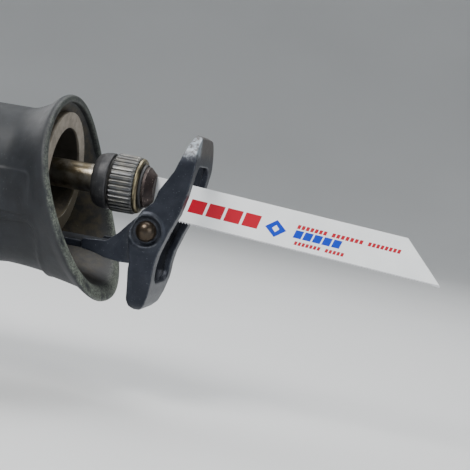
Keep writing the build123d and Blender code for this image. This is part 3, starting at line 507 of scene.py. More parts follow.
@dataclass(frozen=True)
class BladePaint(Finish):
    """White baked paint with generic printed bars and a bare toothed edge."""

    cant: float = 3.8
    edge: float = -13.1
    red: Colour = (0.46, 0.0, 0.018)
    blue: Colour = (0.0, 0.035, 0.50)
    steel: Colour = (0.55, 0.56, 0.58)

    def along_and_across(self, graph: Graph) -> tuple[object, object]:
        """Blade coordinates: millimetres along it from the clamp, and across it from the seat line.

        Args:
            graph: Graph to build in.

        Returns:
            The two sockets.
        """
        x, _, z = graph.axes()
        cosine, sine = math.cos(math.radians(self.cant)), math.sin(math.radians(self.cant))
        along = graph.math("SUBTRACT", graph.times(x, cosine), graph.times(z, sine))
        across = graph.math("ADD", graph.times(x, sine), graph.times(z, cosine))
        return along, across

    def bars(self, graph: Graph, place: tuple[object, object], box: tuple[float, float, float, float],
             count: int, share: float, slant: float) -> object:
        """Mask of a row of slanted bars.

        Args:
            graph: Graph to build in.
            place: Blade coordinates.
            box: Start, end, bottom and top of the row.
            count: Number of bars.
            share: Share of each pitch that is printed.
            slant: Lean of the bars.

        Returns:
            The mask's socket.
        """
        start, end, bottom, top = box
        along, across = place
        leaned = graph.math("ADD", along, graph.times(graph.math("SUBTRACT", bottom, across), slant))
        pitch = (end - start) / count
        phase = graph.math("FRACT", graph.math("DIVIDE", graph.math("SUBTRACT", leaned, start), pitch))
        soft = 0.04 / pitch
        ink = graph.times(graph.between(phase, soft, share, soft), graph.between(leaned, start, end - 0.02))
        return graph.times(ink, graph.between(across, bottom, top))

    def colour(self, graph: Graph) -> object:
        """Paint, print and bare edge.

        Args:
            graph: Graph to build in.

        Returns:
            The colour's socket.
        """
        place = self.along_and_across(graph)
        along, across = place
        paint = graph.mix(graph.band(graph.noise(14.0, 3.0, 0.5), 0.3, 0.7), self.ground, self.mottle)
        heavy = self.bars(graph, place, (17.6, 53.8, -7.0, -0.4), 4, 0.86, 0.18)
        fine = graph.most(
            self.bars(graph, place, (71.2, 86.0, -2.2, -0.2), 7, 0.74, 0.25),
            graph.most(
                self.bars(graph, place, (88.0, 103.5, -2.2, -0.2), 7, 0.74, 0.25),
                self.bars(graph, place, (105.5, 121.6, -2.2, -0.2), 8, 0.74, 0.25),
            ),
        )
        fine = graph.most(fine, self.bars(graph, place, (71.4, 84.5, -10.0, -8.2), 7, 0.74, 0.25))
        fine = graph.most(fine, self.bars(graph, place, (86.5, 96.0, -10.0, -8.2), 5, 0.74, 0.25))
        heavy_blue = self.bars(graph, place, (70.2, 93.6, -6.8, -2.9), 5, 0.84, 0.25)
        du = graph.math("ABSOLUTE", graph.math("SUBTRACT", along, 61.4))
        dv = graph.math("ABSOLUTE", graph.math("ADD", across, 4.6))
        diamond = graph.band(graph.math("ADD", du, graph.times(dv, 1.25)), 5.3, 5.2)
        core = graph.band(graph.math("ADD", du, dv), 1.7, 1.8)
        blue = graph.most(heavy_blue, graph.times(diamond, core))
        scratch = graph.band(graph.noise(2.5, 4.0, 0.7, shift=2.2), 0.22, 0.29)
        red = graph.times(graph.most(heavy, fine), scratch)
        paint = graph.mix(red, paint, self.red)
        paint = graph.mix(graph.times(blue, scratch), paint, self.blue)
        return graph.mix(self.bare_edge(graph, across), paint, self.steel)

    def bare_edge(self, graph: Graph, across: object) -> object:
        """Mask of the teeth, whose paint is gone.

        Args:
            graph: Graph to build in.
            across: Blade coordinate across it.

        Returns:
            The mask's socket.
        """
        ragged = graph.math("ADD", across, graph.times(graph.noise(1.2, 3.0, 0.6, shift=1.1), 0.5))
        return graph.band(ragged, self.edge + 1.35, self.edge + 1.15)


@dataclass(frozen=True)
class SpindleFilm(Finish):
    """Ground steel under a film of hardened grease that is thickest on top."""

    film: Colour = (0.135, 0.105, 0.050)

    def colour(self, graph: Graph) -> object:
        """Steel with its film.

        Args:
            graph: Graph to build in.

        Returns:
            The colour's socket.
        """
        steel = super().colour(graph)
        _, _, height = graph.axes()
        ragged = graph.math("ADD", height, graph.times(graph.noise(3.0, 4.0, 0.7, Lay.ALONG, 2.0), 6.0))
        patches = graph.band(graph.noise(6.0, 4.0, 0.7, shift=5.5), 0.30, 0.62)
        share = graph.times(graph.times(graph.band(ragged, 1.5, 6.5), patches), 0.8)
        return graph.mix(share, steel, self.film)


@dataclass(frozen=True)
class ShoeOxide(Finish):
    """Black oxide, worn to bluish steel with a painted highlight at the shoe's upper near end, and brown over
    its bridge.
    """

    blue_wear_and_highlight: Colour = (0.30, 0.34, 0.38)
    worn_brown: Colour = (0.075, 0.064, 0.056)

    def colour(self, graph: Graph) -> object:
        """Oxide with its worn upper end, which carries a painted highlight on the near side.

        Args:
            graph: Graph to build in.

        Returns:
            The colour's socket.
        """
        oxide = super().colour(graph)
        across, height = graph.axes()[1:]
        ragged = graph.times(graph.noise(3.5, 4.0, 0.7, shift=6.1), 9.0)
        bridge = graph.band(graph.math("ADD", height, ragged), 21.0, 26.0)
        near = graph.band(graph.math("SUBTRACT", graph.times(across, -1.0), ragged), 6.0, 12.0)
        clouds = graph.band(graph.noise(2.0, 4.0, 0.7, shift=3.9), 0.30, 0.60)
        oxide = graph.mix(graph.times(bridge, 0.85), oxide, self.worn_brown)
        # Bluish worn steel plus painted highlight, on the near side's upper end only.
        return graph.mix(graph.times(graph.times(bridge, near), clouds), oxide, self.blue_wear_and_highlight)


@dataclass(frozen=True)
class RingCasting(Finish):
    """Casting whose nose ring is dusty, darker towards the bottom and near black behind its face with painted
    shade.
    """

    lower_dark: Colour = (0.060, 0.048, 0.026)
    painted_recess_shade: Colour = (0.012, 0.010, 0.008)
    face: float = -47.0
    depth_end: float = -70.0

    def colour(self, graph: Graph) -> object:
        """Casting, darker towards the bottom, with painted shade behind its face.

        Args:
            graph: Graph to build in.

        Returns:
            The colour's socket.
        """
        dusty = super().colour(graph)
        along, _, height = graph.axes()
        ragged = graph.math("ADD", height, graph.times(graph.noise(5.0, 4.0, 0.7, shift=3.3), 14.0))
        # Darker towards the bottom of the ring.
        dusty = graph.mix(graph.band(ragged, 12.0, 2.0), dusty, self.lower_dark)
        # Painted shade: the recess behind the ring's face is made near black.
        behind = graph.band(along, self.face - 0.5, self.face - 1.6)
        mouth = graph.band(along, self.depth_end - 2.0, self.depth_end)
        return graph.mix(graph.times(graph.times(behind, mouth), 0.9), dusty, self.painted_recess_shade)


class Finishes:
    """Every finish of the saw, made once and shared by the pieces that have it."""

    boot = BootRubber(
        "boot rubber", "rubber_black", (0.0075, 0.0088, 0.0115), (0.014, 0.016, 0.020),
        mottle_size=11.0, rough_low=0.46, rough_high=0.64, grain_size=0.45, grain_depth=0.035,
        swell_depth=0.05, dust=(0.10, 0.105, 0.105), dust_amount=0.18, speck=(0.12, 0.13, 0.13),
        speck_amount=0.25, specular=0.34, dense=True,
    )
    seal = Finish(
        "seal rubber", "rubber_black", (0.008, 0.007, 0.006), (0.020, 0.016, 0.011),
        mottle_size=5.0, rough_low=0.5, rough_high=0.75, dust=(0.05, 0.038, 0.022), dust_amount=0.4,
    )
    grip = Finish(
        "grip rubber", "grip_rubber", (0.024, 0.024, 0.026), (0.036, 0.036, 0.038), rough_low=0.6,
        rough_high=0.8, grain_size=0.55, grain_depth=0.06, dust=(0.16, 0.15, 0.14),
        dust_amount=0.18, specular=0.35,
    )
    blade = BladePaint(
        "blade paint", "blade_white", (0.93, 0.945, 0.95), (0.88, 0.90, 0.91), rough_low=0.30,
        rough_high=0.42, grain_size=0.6, grain_depth=0.008, bare=(0.5, 0.5, 0.5), bare_amount=0.35,
        bare_reach=0.15, dust=(0.60, 0.60, 0.58), dust_amount=0.06, specular=0.45,
    )
    spindle = SpindleFilm(
        "spindle steel", "spindle_steel", (0.36, 0.34, 0.30), (0.20, 0.18, 0.15), mottle_size=4.0,
        metallic=1.0, rough_low=0.22, rough_high=0.42, grain_size=0.25, grain_depth=0.012,
        lay=Lay.AROUND, dust=(0.20, 0.15, 0.08), dust_amount=0.35,
    )
    gunmetal = Finish(
        "gunmetal", "clamp_steel", (0.085, 0.088, 0.095), (0.13, 0.13, 0.125), mottle_size=5.0,
        metallic=0.9, rough_low=0.30, rough_high=0.46, grain_size=0.3, grain_depth=0.02,
        bare=(0.62, 0.61, 0.56), bare_amount=1.0, bare_metallic=1.0, dust=(0.16, 0.13, 0.08),
        dust_amount=0.55, dense=True,
    )
    dark_oxide = Finish(
        "dark oxide", "clamp_dark", (0.030, 0.031, 0.035), (0.055, 0.055, 0.058), mottle_size=4.0,
        metallic=0.5, rough_low=0.42, rough_high=0.62, grain_size=0.4, grain_depth=0.03,
        bare=(0.30, 0.29, 0.27), bare_amount=0.5, bare_metallic=1.0, dust=(0.14, 0.13, 0.11),
        dust_amount=0.4, speck=(0.25, 0.25, 0.24), speck_amount=0.4,
    )
    bezel = Finish(
        "worn brassy plating", "bezel_brass", (0.26, 0.225, 0.14), (0.12, 0.105, 0.075),
        mottle_size=3.0, metallic=1.0, rough_low=0.28, rough_high=0.45, grain_size=0.3,
        grain_depth=0.02, lay=Lay.AROUND, bare=(0.60, 0.55, 0.42), bare_amount=0.8,
        bare_metallic=1.0, dust=(0.12, 0.09, 0.05), dust_amount=0.5,
    )
    nose = Finish(
        "brown steel", "rivet_steel", (0.055, 0.040, 0.038), (0.032, 0.026, 0.027), mottle_size=2.5,
        metallic=0.75, rough_low=0.38, rough_high=0.60, grain_size=0.3, grain_depth=0.05,
        bare=(0.66, 0.60, 0.55), bare_amount=1.0, bare_metallic=1.0, bare_reach=0.5,
        dust=(0.12, 0.09, 0.06), dust_amount=0.35, speck=(0.55, 0.45, 0.40), speck_amount=0.7,
    )
    oxide = ShoeOxide(
        "black oxide", "shoe_black", (0.012, 0.015, 0.024), (0.022, 0.026, 0.037), mottle_size=7.0,
        metallic=0.55, rough_low=0.34, rough_high=0.52, grain_size=0.6, grain_depth=0.035,
        swell_depth=0.08, bare=(0.42, 0.45, 0.48), bare_amount=0.75, bare_metallic=0.9,
        dust=(0.10, 0.105, 0.115), dust_amount=0.45, speck=(0.22, 0.24, 0.27), speck_amount=0.35,
        dense=True,
    )
    rivet = Finish(
        "rivet steel", "rivet_steel", (0.060, 0.044, 0.030), (0.038, 0.030, 0.023), mottle_size=3.0,
        metallic=0.8, rough_low=0.24, rough_high=0.36, grain_size=0.5, grain_depth=0.015,
        dust=(0.12, 0.09, 0.06), dust_amount=0.3,
    )
    casting = RingCasting(
        "dusty casting", "case_aluminium", (0.33, 0.29, 0.24), (0.22, 0.19, 0.155), mottle_size=6.0,
        metallic=0.35, rough_low=0.5, rough_high=0.75, grain_size=0.8, grain_depth=0.07,
        bare=(0.62, 0.60, 0.56), bare_amount=0.5, bare_metallic=0.9, dust=(0.20, 0.155, 0.09),
        dust_amount=0.6, speck=(0.06, 0.05, 0.04), speck_amount=0.8,
    )
    ground_steel = Finish(
        "ground steel", "inner_steel", (0.50, 0.51, 0.53), (0.40, 0.41, 0.42), mottle_size=3.0,
        metallic=1.0, rough_low=0.22, rough_high=0.38, grain_size=0.25, grain_depth=0.01,
        lay=Lay.AROUND,
    )
    bronze = Finish(
        "oiled bronze", "bronze", (0.56, 0.38, 0.17), (0.40, 0.27, 0.13), mottle_size=2.0,
        metallic=1.0, rough_low=0.32, rough_high=0.5, grain_size=0.2, grain_depth=0.02,
    )
    housing = Finish(
        "housing nylon", "motor_plastic", (0.030, 0.031, 0.034), (0.040, 0.041, 0.044),
        rough_low=0.45, rough_high=0.62, grain_size=0.35, grain_depth=0.04, bare=(0.15, 0.15, 0.15),
        bare_amount=0.4, dust=(0.20, 0.19, 0.17), dust_amount=0.30,
    )
    shell = Finish(
        "shell plastic", "handle_plastic", (0.36, 0.020, 0.018), (0.30, 0.017, 0.015),
        mottle_size=20.0, rough_low=0.36, rough_high=0.50, grain_size=0.30, grain_depth=0.03,
        bare=(0.52, 0.10, 0.08), bare_amount=0.45, dust=(0.30, 0.24, 0.20), dust_amount=0.22,
    )
    black_plastic = Finish(
        "black plastic", "black_plastic", (0.022, 0.022, 0.024), (0.030, 0.030, 0.032),
        rough_low=0.38, rough_high=0.55, grain_size=0.3, grain_depth=0.03, bare=(0.12, 0.12, 0.12),
        bare_amount=0.5, dust=(0.20, 0.19, 0.17), dust_amount=0.25,
    )
    copper = Finish(
        "copper", "copper", (0.70, 0.33, 0.17), (0.50, 0.23, 0.12), mottle_size=2.0, metallic=1.0,
        rough_low=0.2, rough_high=0.4, grain_size=0.3, grain_depth=0.01, lay=Lay.AROUND,
    )
    lamination = Finish(
        "sheet stack", "lamination", (0.16, 0.16, 0.17), (0.22, 0.21, 0.20), mottle_size=3.0,
        metallic=0.8, rough_low=0.4, rough_high=0.6, grain_size=0.5, grain_depth=0.05,
        lay=Lay.AROUND,
    )
    carbon = Finish(
        "carbon", "carbon", (0.03, 0.03, 0.03), (0.05, 0.05, 0.05), mottle_size=1.0, rough_low=0.5,
        rough_high=0.7, grain_size=0.2, grain_depth=0.02,
    )

    def __init__(self) -> None:
        """Start with no material made."""
        self.made: dict[str, bpy.types.Material] = {}

    def dress(self, piece: bpy.types.Object, finish: Finish) -> bpy.types.Object:
        """Give a piece a finish.

        Args:
            piece: Piece to dress.
            finish: Finish to give it.

        Returns:
            The same piece.
        """
        if finish.name not in self.made:
            self.made[finish.name] = finish.material()
        piece.data.materials.clear()
        piece.data.materials.append(self.made[finish.name])
        return piece


# ------------------------------------------------------------------ mesh making


class Mesher:
    """Builds closed meshes from rows of points."""

    @staticmethod
    def piece(
        name: str, points: np.ndarray, faces: list[tuple[int, ...]], crease: float = 34.0
    ) -> bpy.types.Object:
        """Make an object from points in millimetres and faces.

        Args:
            name: Name of the piece.
            points: One row of x, y and z per vertex.
            faces: Vertex numbers of each face.
            crease: Angle above which an edge stays sharp, in degrees.

        Returns:
            The new object, linked to the scene.
        """
        mesh = bpy.data.meshes.new(name)
        mesh.from_pydata((np.asarray(points) * MM).tolist(), [], faces)
        mesh.validate()
        mesh.shade_smooth()
        mesh.set_sharp_from_angle(angle=math.radians(crease))
        mesh.update()
        made = bpy.data.objects.new(name, mesh)
        bpy.context.scene.collection.objects.link(made)
        return made

    @staticmethod
    def tube_faces(rows: int, columns: int, closed: bool) -> list[tuple[int, ...]]:
        """Faces of a grid that closes round its columns.

        Args:
            rows: Number of rows.
            columns: Number of points in each row.
            closed: Whether the last row joins the first one.

        Returns:
            Faces, with flat ends where the rows stay open.
        """
        faces: list[tuple[int, ...]] = []
        for row in range(rows if closed else rows - 1):
            here, there = row * columns, (row + 1) % rows * columns
            for column in range(columns):
                beside = (column + 1) % columns
                faces.append((here + column, there + column, there + beside, here + beside))
        if not closed:
            faces.append(tuple(range(columns)))
            faces.append(tuple(range(rows * columns - 1, (rows - 1) * columns - 1, -1)))
        return faces

    @staticmethod
    def softened(corners: list[Point], radius: float, closed: bool, steps: int = 4) -> list[Point]:
        """Round the corners of an outline.

        Args:
            corners: Corner points.
            radius: Radius of the rounding, cut down at short sides.
            closed: Whether the outline closes on itself.
            steps: Points in each rounded corner.

        Returns:
            The rounded outline.
        """
        count = len(corners)
        found: list[Point] = []
        for number, corner in enumerate(corners):
            if not closed and number in (0, count - 1):
                found.append(corner)
                continue
            here = Vector(corner)
            back = Vector(corners[number - 1]) - here
            ahead = Vector(corners[(number + 1) % count]) - here
            reach = min(radius, 0.45 * back.length, 0.45 * ahead.length)
            start, end = here + back.normalized() * reach, here + ahead.normalized() * reach
            for step in range(steps + 1):
                share = step / steps
                place = start * (1 - share) ** 2 + here * 2 * share * (1 - share) + end * share**2
                found.append((place.x, place.y))
        return found

    @classmethod
    def turned(cls, name: str, profile: list[Point], radius: float = 0.3, steps: int = 96,
               centre: tuple[float, float] = (0.0, 0.0)) -> bpy.types.Object:
        """Turn a closed ring about an axis parallel to X.

        Args:
            name: Name of the piece.
            profile: Closed outline of x and radius.
            radius: Rounding of the outline's corners.
            steps: Number of points around.
            centre: Y and z of the axis.

        Returns:
            The turned piece.
        """
        outline = cls.softened(profile, radius, True)
        angles = np.arange(steps) * 2 * math.pi / steps
        rows = [
            np.stack([np.full(steps, x), centre[0] + r * np.cos(angles), centre[1] + r * np.sin(angles)], -1)
            for x, r in outline
        ]
        return cls.piece(name, np.concatenate(rows), cls.tube_faces(len(rows), steps, True))

    @staticmethod
    def remade(name: str, node: bpy.types.Object, voxel: float, rounds: int) -> bpy.types.Object:
        """Rebuild a CAD node's shape as an even, dense mesh with soft edges.

        Args:
            name: Name of the new piece.
            node: CAD node to copy.
            voxel: Size of the new mesh's cells.
            rounds: Rounds of smoothing.

        Returns:
            The new piece.
        """
        copy = bpy.data.objects.new(name + "_copy", node.data.copy())
        bpy.context.scene.collection.objects.link(copy)
        weld = copy.modifiers.new("weld", "WELD")
        weld.merge_threshold = 0.002 * MM
        remesh = copy.modifiers.new("remesh", "REMESH")
        remesh.mode = "VOXEL"
        remesh.voxel_size = voxel * MM
        smooth = copy.modifiers.new("smooth", "SMOOTH")
        smooth.factor = 0.5
        smooth.iterations = rounds
        bpy.context.view_layer.update()
        evaluated = copy.evaluated_get(bpy.context.evaluated_depsgraph_get())
        mesh = bpy.data.meshes.new_from_object(evaluated)
        bpy.data.objects.remove(copy)
        mesh.name = name
        mesh.shade_smooth()
        made = bpy.data.objects.new(name, mesh)
        bpy.context.scene.collection.objects.link(made)
        return made

    @staticmethod
    def places(piece: bpy.types.Object) -> np.ndarray:
        """Vertices of a piece in millimetres.

        Args:
            piece: Piece to read.

        Returns:
            One row of x, y and z per vertex.
        """
        flat = np.empty(len(piece.data.vertices) * 3, np.float32)
        piece.data.vertices.foreach_get("co", flat)
        return flat.reshape(-1, 3).astype(float) / MM

    @staticmethod
    def replace_places(piece: bpy.types.Object, places: np.ndarray) -> None:
        """Move the vertices of a piece to places in millimetres."""
        piece.data.vertices.foreach_set("co", (places * MM).astype(np.float32).ravel())
        piece.data.update()

    @staticmethod
    def carry(piece: bpy.types.Object, name: str, values: np.ndarray) -> None:
        """Store a value for each vertex of a piece under a name."""
        layer = piece.data.attributes.new(name, "FLOAT", "POINT")
        layer.data.foreach_set("value", values.astype(np.float32))


def step_up(value: np.ndarray, low: float, high: float) -> np.ndarray:
    """Smooth step of an array from 0 at low to 1 at high."""
    share = np.clip((value - low) / (high - low), 0, 1)
    return share * share * (3 - 2 * share)


def settle(piece: bpy.types.Object, body: str, *nodes: str) -> bpy.types.Object:
    """Make a piece ride on a body and stand for CAD nodes.

    Args:
        piece: Piece to place.
        body: Body that carries it.
        nodes: CAD nodes that it stands for.

    Returns:
        The same piece.
    """
    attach(piece, body)
    if nodes:
        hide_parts(*nodes)
    return piece


# ------------------------------------------------------------------ sub-assemblies


@dataclass
class Boot:
    """Rubber boot over the gear case, with its flared hand-guard lip."""

    half_width: float = 34.0
    top: float = 29.0
    bottom_front: float = -47.0
    bottom_rear: float = -58.0
    taper_start: float = -52.0
    taper_end: float = -150.0
    corner: float = 30.0
    wall: float = 2.6
    rear: float = -204.0
    flare_start: float = -66.0
    lip_half_width: float = 51.0
    lip_top: float = 38.5
    lip_bottom: float = -58.3
    lip_thick: float = 8.0
    narrowed: float = 0.48
    pad_place: Point = (-76.0, -11.2)
    pad_half: Point = (23.5, 6.6)
    pad_height: float = 0.85
    panel_front: float = -51.0
    panel_top: float = -25.1
    panel_slope: float = 0.10
    panel_depth: float = 1.1
    panel_ridge: float = 0.35
    mould_line: float = 0.18
    columns: int = 400
    flare_spots: tuple[Point, ...] = (
        (6.9, 3.4), (5.8, 2.5), (4.8, 1.7), (3.9, 1.0), (3.1, 0.45), (2.4, 0.1), (1.8, 0.0),
    )
    rim_spots: tuple[Point, ...] = (
        (1.2, 0.15), (0.7, 0.5), (0.35, 1.1), (0.12, 2.0), (0.0, 3.4), (0.05, 5.0), (0.25, 6.2),
        (0.8, 7.0), (1.7, 7.5), (3.0, 7.8),
    )
    rim_heights: tuple[float, ...] = (-66.3, -54.0, -40.0, -27.0, -12.0, 13.0, 34.0, 46.5)
    rim_places: tuple[float, ...] = (-11.0, -16.4, -22.6, -28.6, -34.8, -42.5, -45.8, -46.6)

    def rim_x(self, height: np.ndarray) -> np.ndarray:
        """Place of the rim's front along X at each height.

        Args:
            height: Heights in millimetres.

        Returns:
            Places along X.
        """
        fit = np.polyfit(self.rim_heights, self.rim_places, 4)
        return np.polyval(fit, height)

    def angles(self) -> np.ndarray:
        """Polar angles of the columns, seen from the front."""
        return np.arange(self.columns) * 2 * math.pi / self.columns

    def barrel_row(self, x: float, inset: float) -> np.ndarray:
        """Barrel outline at a place.

        Args:
            x: Place along X.
            inset: Distance inside the outer skin.

        Returns:
            The row of points.
        """
        share = min(max((self.taper_start - x) / (self.taper_start - self.taper_end), 0), 1)
        bottom = self.bottom_front + share * (self.bottom_rear - self.bottom_front)
        middle, half = (self.top + bottom) / 2, (self.top - bottom) / 2 - inset
        width, corner = self.half_width - inset, self.corner - inset
        cosine, sine = np.cos(self.angles()), np.sin(self.angles())
        across, up = np.abs(cosine) + 1e-9, np.abs(sine) + 1e-9
        reach = np.minimum(width / across, half / up)
        flat_side = (width / across * up <= half - corner) & (width / across <= half / up + 1e9)
        flat_top = half / up * across <= width - corner
        middle_y, middle_z = width - corner, half - corner
        dot = across * middle_y + up * middle_z
        arc = dot + np.sqrt(np.maximum(dot**2 - (middle_y**2 + middle_z**2 - corner**2), 0))
        reach = np.where(flat_side, width / across, np.where(flat_top, half / up, arc))
        return np.stack([np.full(self.columns, x), reach * cosine, middle + reach * sine], -1)

    def lip_row(self, back: float, inset: float, narrowed: float = 1.0) -> np.ndarray:
        """Lip outline at a distance behind the rim's front.

        Args:
            back: Distance behind the rim's front.
            inset: Distance inside the lip's outer edge.
            narrowed: Share of the inset that is left at the top of the lip.

        Returns:
            The row of points.
        """
        middle = (self.lip_top + self.lip_bottom) / 2
        half = (self.lip_top - self.lip_bottom) / 2
        cosine, sine = np.cos(self.angles()), np.sin(self.angles())
        inset = inset * (narrowed + (1 - narrowed) * step_up(-sine, -0.75, 0.55))
        fuller = np.where(sine < 0, 0.88, 1.0)
        y = (self.lip_half_width - inset) * np.sign(cosine) * np.abs(cosine) ** fuller
        z = middle + (half - inset) * np.sign(sine) * np.abs(sine) ** fuller
        return np.stack([self.rim_x(z) - back, y, z], -1)

    def outer_rows(self) -> Rows:
        """Rows from the rear edge to the front of the bead.

        Returns:
            The rows.
        """
        rows = [self.barrel_row(self.rear, 1.2), self.barrel_row(self.rear, 0.5)]
        rows.append(self.barrel_row(self.rear + 0.6, 0))
        coarse = np.arange(self.rear + 4, -112, 4.0)
        fine = np.arange(-112, self.flare_start, 0.8)
        rows += [self.barrel_row(float(x), 0) for x in (*coarse, *fine)]
        foot = self.barrel_row(self.flare_start, 0)
        head = self.lip_row(self.lip_thick, 4.3)
        for share in np.linspace(0.03, 1, 30):
            grown = share**1.7
            row = foot * (1 - grown) + head * grown
            row[:, 0] = foot[:, 0] * (1 - share) + head[:, 0] * share
            rows.append(row)
        rows += [self.lip_row(back, inset) for back, inset in self.flare_spots]
        return rows

    def rim_rows(self) -> Rows:
        """Rows over the lip's front face.

        Returns:
            The rows.
        """
        return [self.lip_row(back, inset, self.narrowed) for back, inset in self.rim_spots]

    def inner_rows(self) -> Rows:
        """Rows from the funnel back to the rear edge.

        Returns:
            The rows.
        """
        head = self.lip_row(3.0, 7.8, self.narrowed)
        seat = self.barrel_row(self.taper_start, self.wall)
        rows = []
        for share in np.linspace(0.08, 1, 18):
            row = head * (1 - share) + seat * share
            row[:, 1:] += (seat - head)[:, 1:] * (0.35 * share * (1 - share))
            rows.append(row)
        rows += [self.barrel_row(x, self.wall) for x in (-60.0, -90.0, -120.0, -150.0, -180.0)]
        rows.append(self.barrel_row(self.rear, self.wall))
        return rows

    def features(self, points: np.ndarray) -> np.ndarray:
        """Outward relief of the outer skin: label pad, shelf, grip panel and mould line.

        Args:
            points: Outer points.

        Returns:
            Relief of each point.
        """
        x, y, z = points.T
        side = step_up(np.abs(y), 22.0, 27.0)
        aside = np.abs(x - self.pad_place[0]) - self.pad_half[0]
        above = np.abs(z - self.pad_place[1]) - self.pad_half[1]
        box = np.hypot(np.maximum(aside, 0), np.maximum(above, 0))
        box = box + np.minimum(np.maximum(aside, above), 0)
        pad = 1.0 - step_up(box, 2.6, 3.9)
        ledge = self.panel_top + self.panel_slope * (x + 63)
        ahead, up = x - self.panel_front, z - ledge + 7.5
        corner = np.hypot(np.maximum(ahead, 0), np.maximum(up, 0))
        corner = corner + np.minimum(np.maximum(ahead, up), 0)
        panel = 1.0 - step_up(corner, 6.2, 7.6)
        ridge = np.exp(-(((corner - 8.6) / 0.8) ** 2))
        rear_stop = step_up(x, -186.0, -183.0)
        mould = np.exp(-((y / 0.35) ** 2)) * self.mould_line
        relief = side * pad * self.pad_height - panel * rear_stop * self.panel_depth
        return relief + ridge * rear_stop * self.panel_ridge + mould

    def build(self) -> bpy.types.Object:
        """Make the boot.

        Returns:
            The boot's piece.
        """
        outer, rim, inner = self.outer_rows(), self.rim_rows(), self.inner_rows()
        skin = np.concatenate(outer[2:-7])
        middle = (self.top + self.bottom_front) / 2
        outward = skin * (0, 1, 1) - (0, 0, middle)
        outward /= np.linalg.norm(outward, axis=1, keepdims=True)
        skin = skin + outward * self.features(skin)[:, None]
        points = np.concatenate([np.concatenate(outer[:2]), skin, np.concatenate(outer[-7:] + rim + inner)])
        rows = len(outer) + len(rim) + len(inner)
        made = Mesher.piece("boot", points, Mesher.tube_faces(rows, self.columns, True), 60.0)
        front = len(outer) * self.columns
        numbers = np.arange(len(points)) // self.columns
        edge = np.exp(-(((numbers - (len(outer) + 4)) / 4.2) ** 4))
        Mesher.carry(made, "rim", edge)
        inside = step_up(numbers.astype(float), len(outer) + 8.0, len(outer) + 13.0)
        Mesher.carry(made, "funnel", np.where(np.arange(len(points)) >= front, inside, 0))
        return made

    def dress(self, finishes: Finishes) -> list[bpy.types.Object]:
        """Build the boot, dress it and place it.

        Args:
            finishes: The saw's finishes.

        Returns:
            The pieces made.
        """
        return [settle(finishes.dress(self.build(), finishes.boot), "housing", "front_boot")]


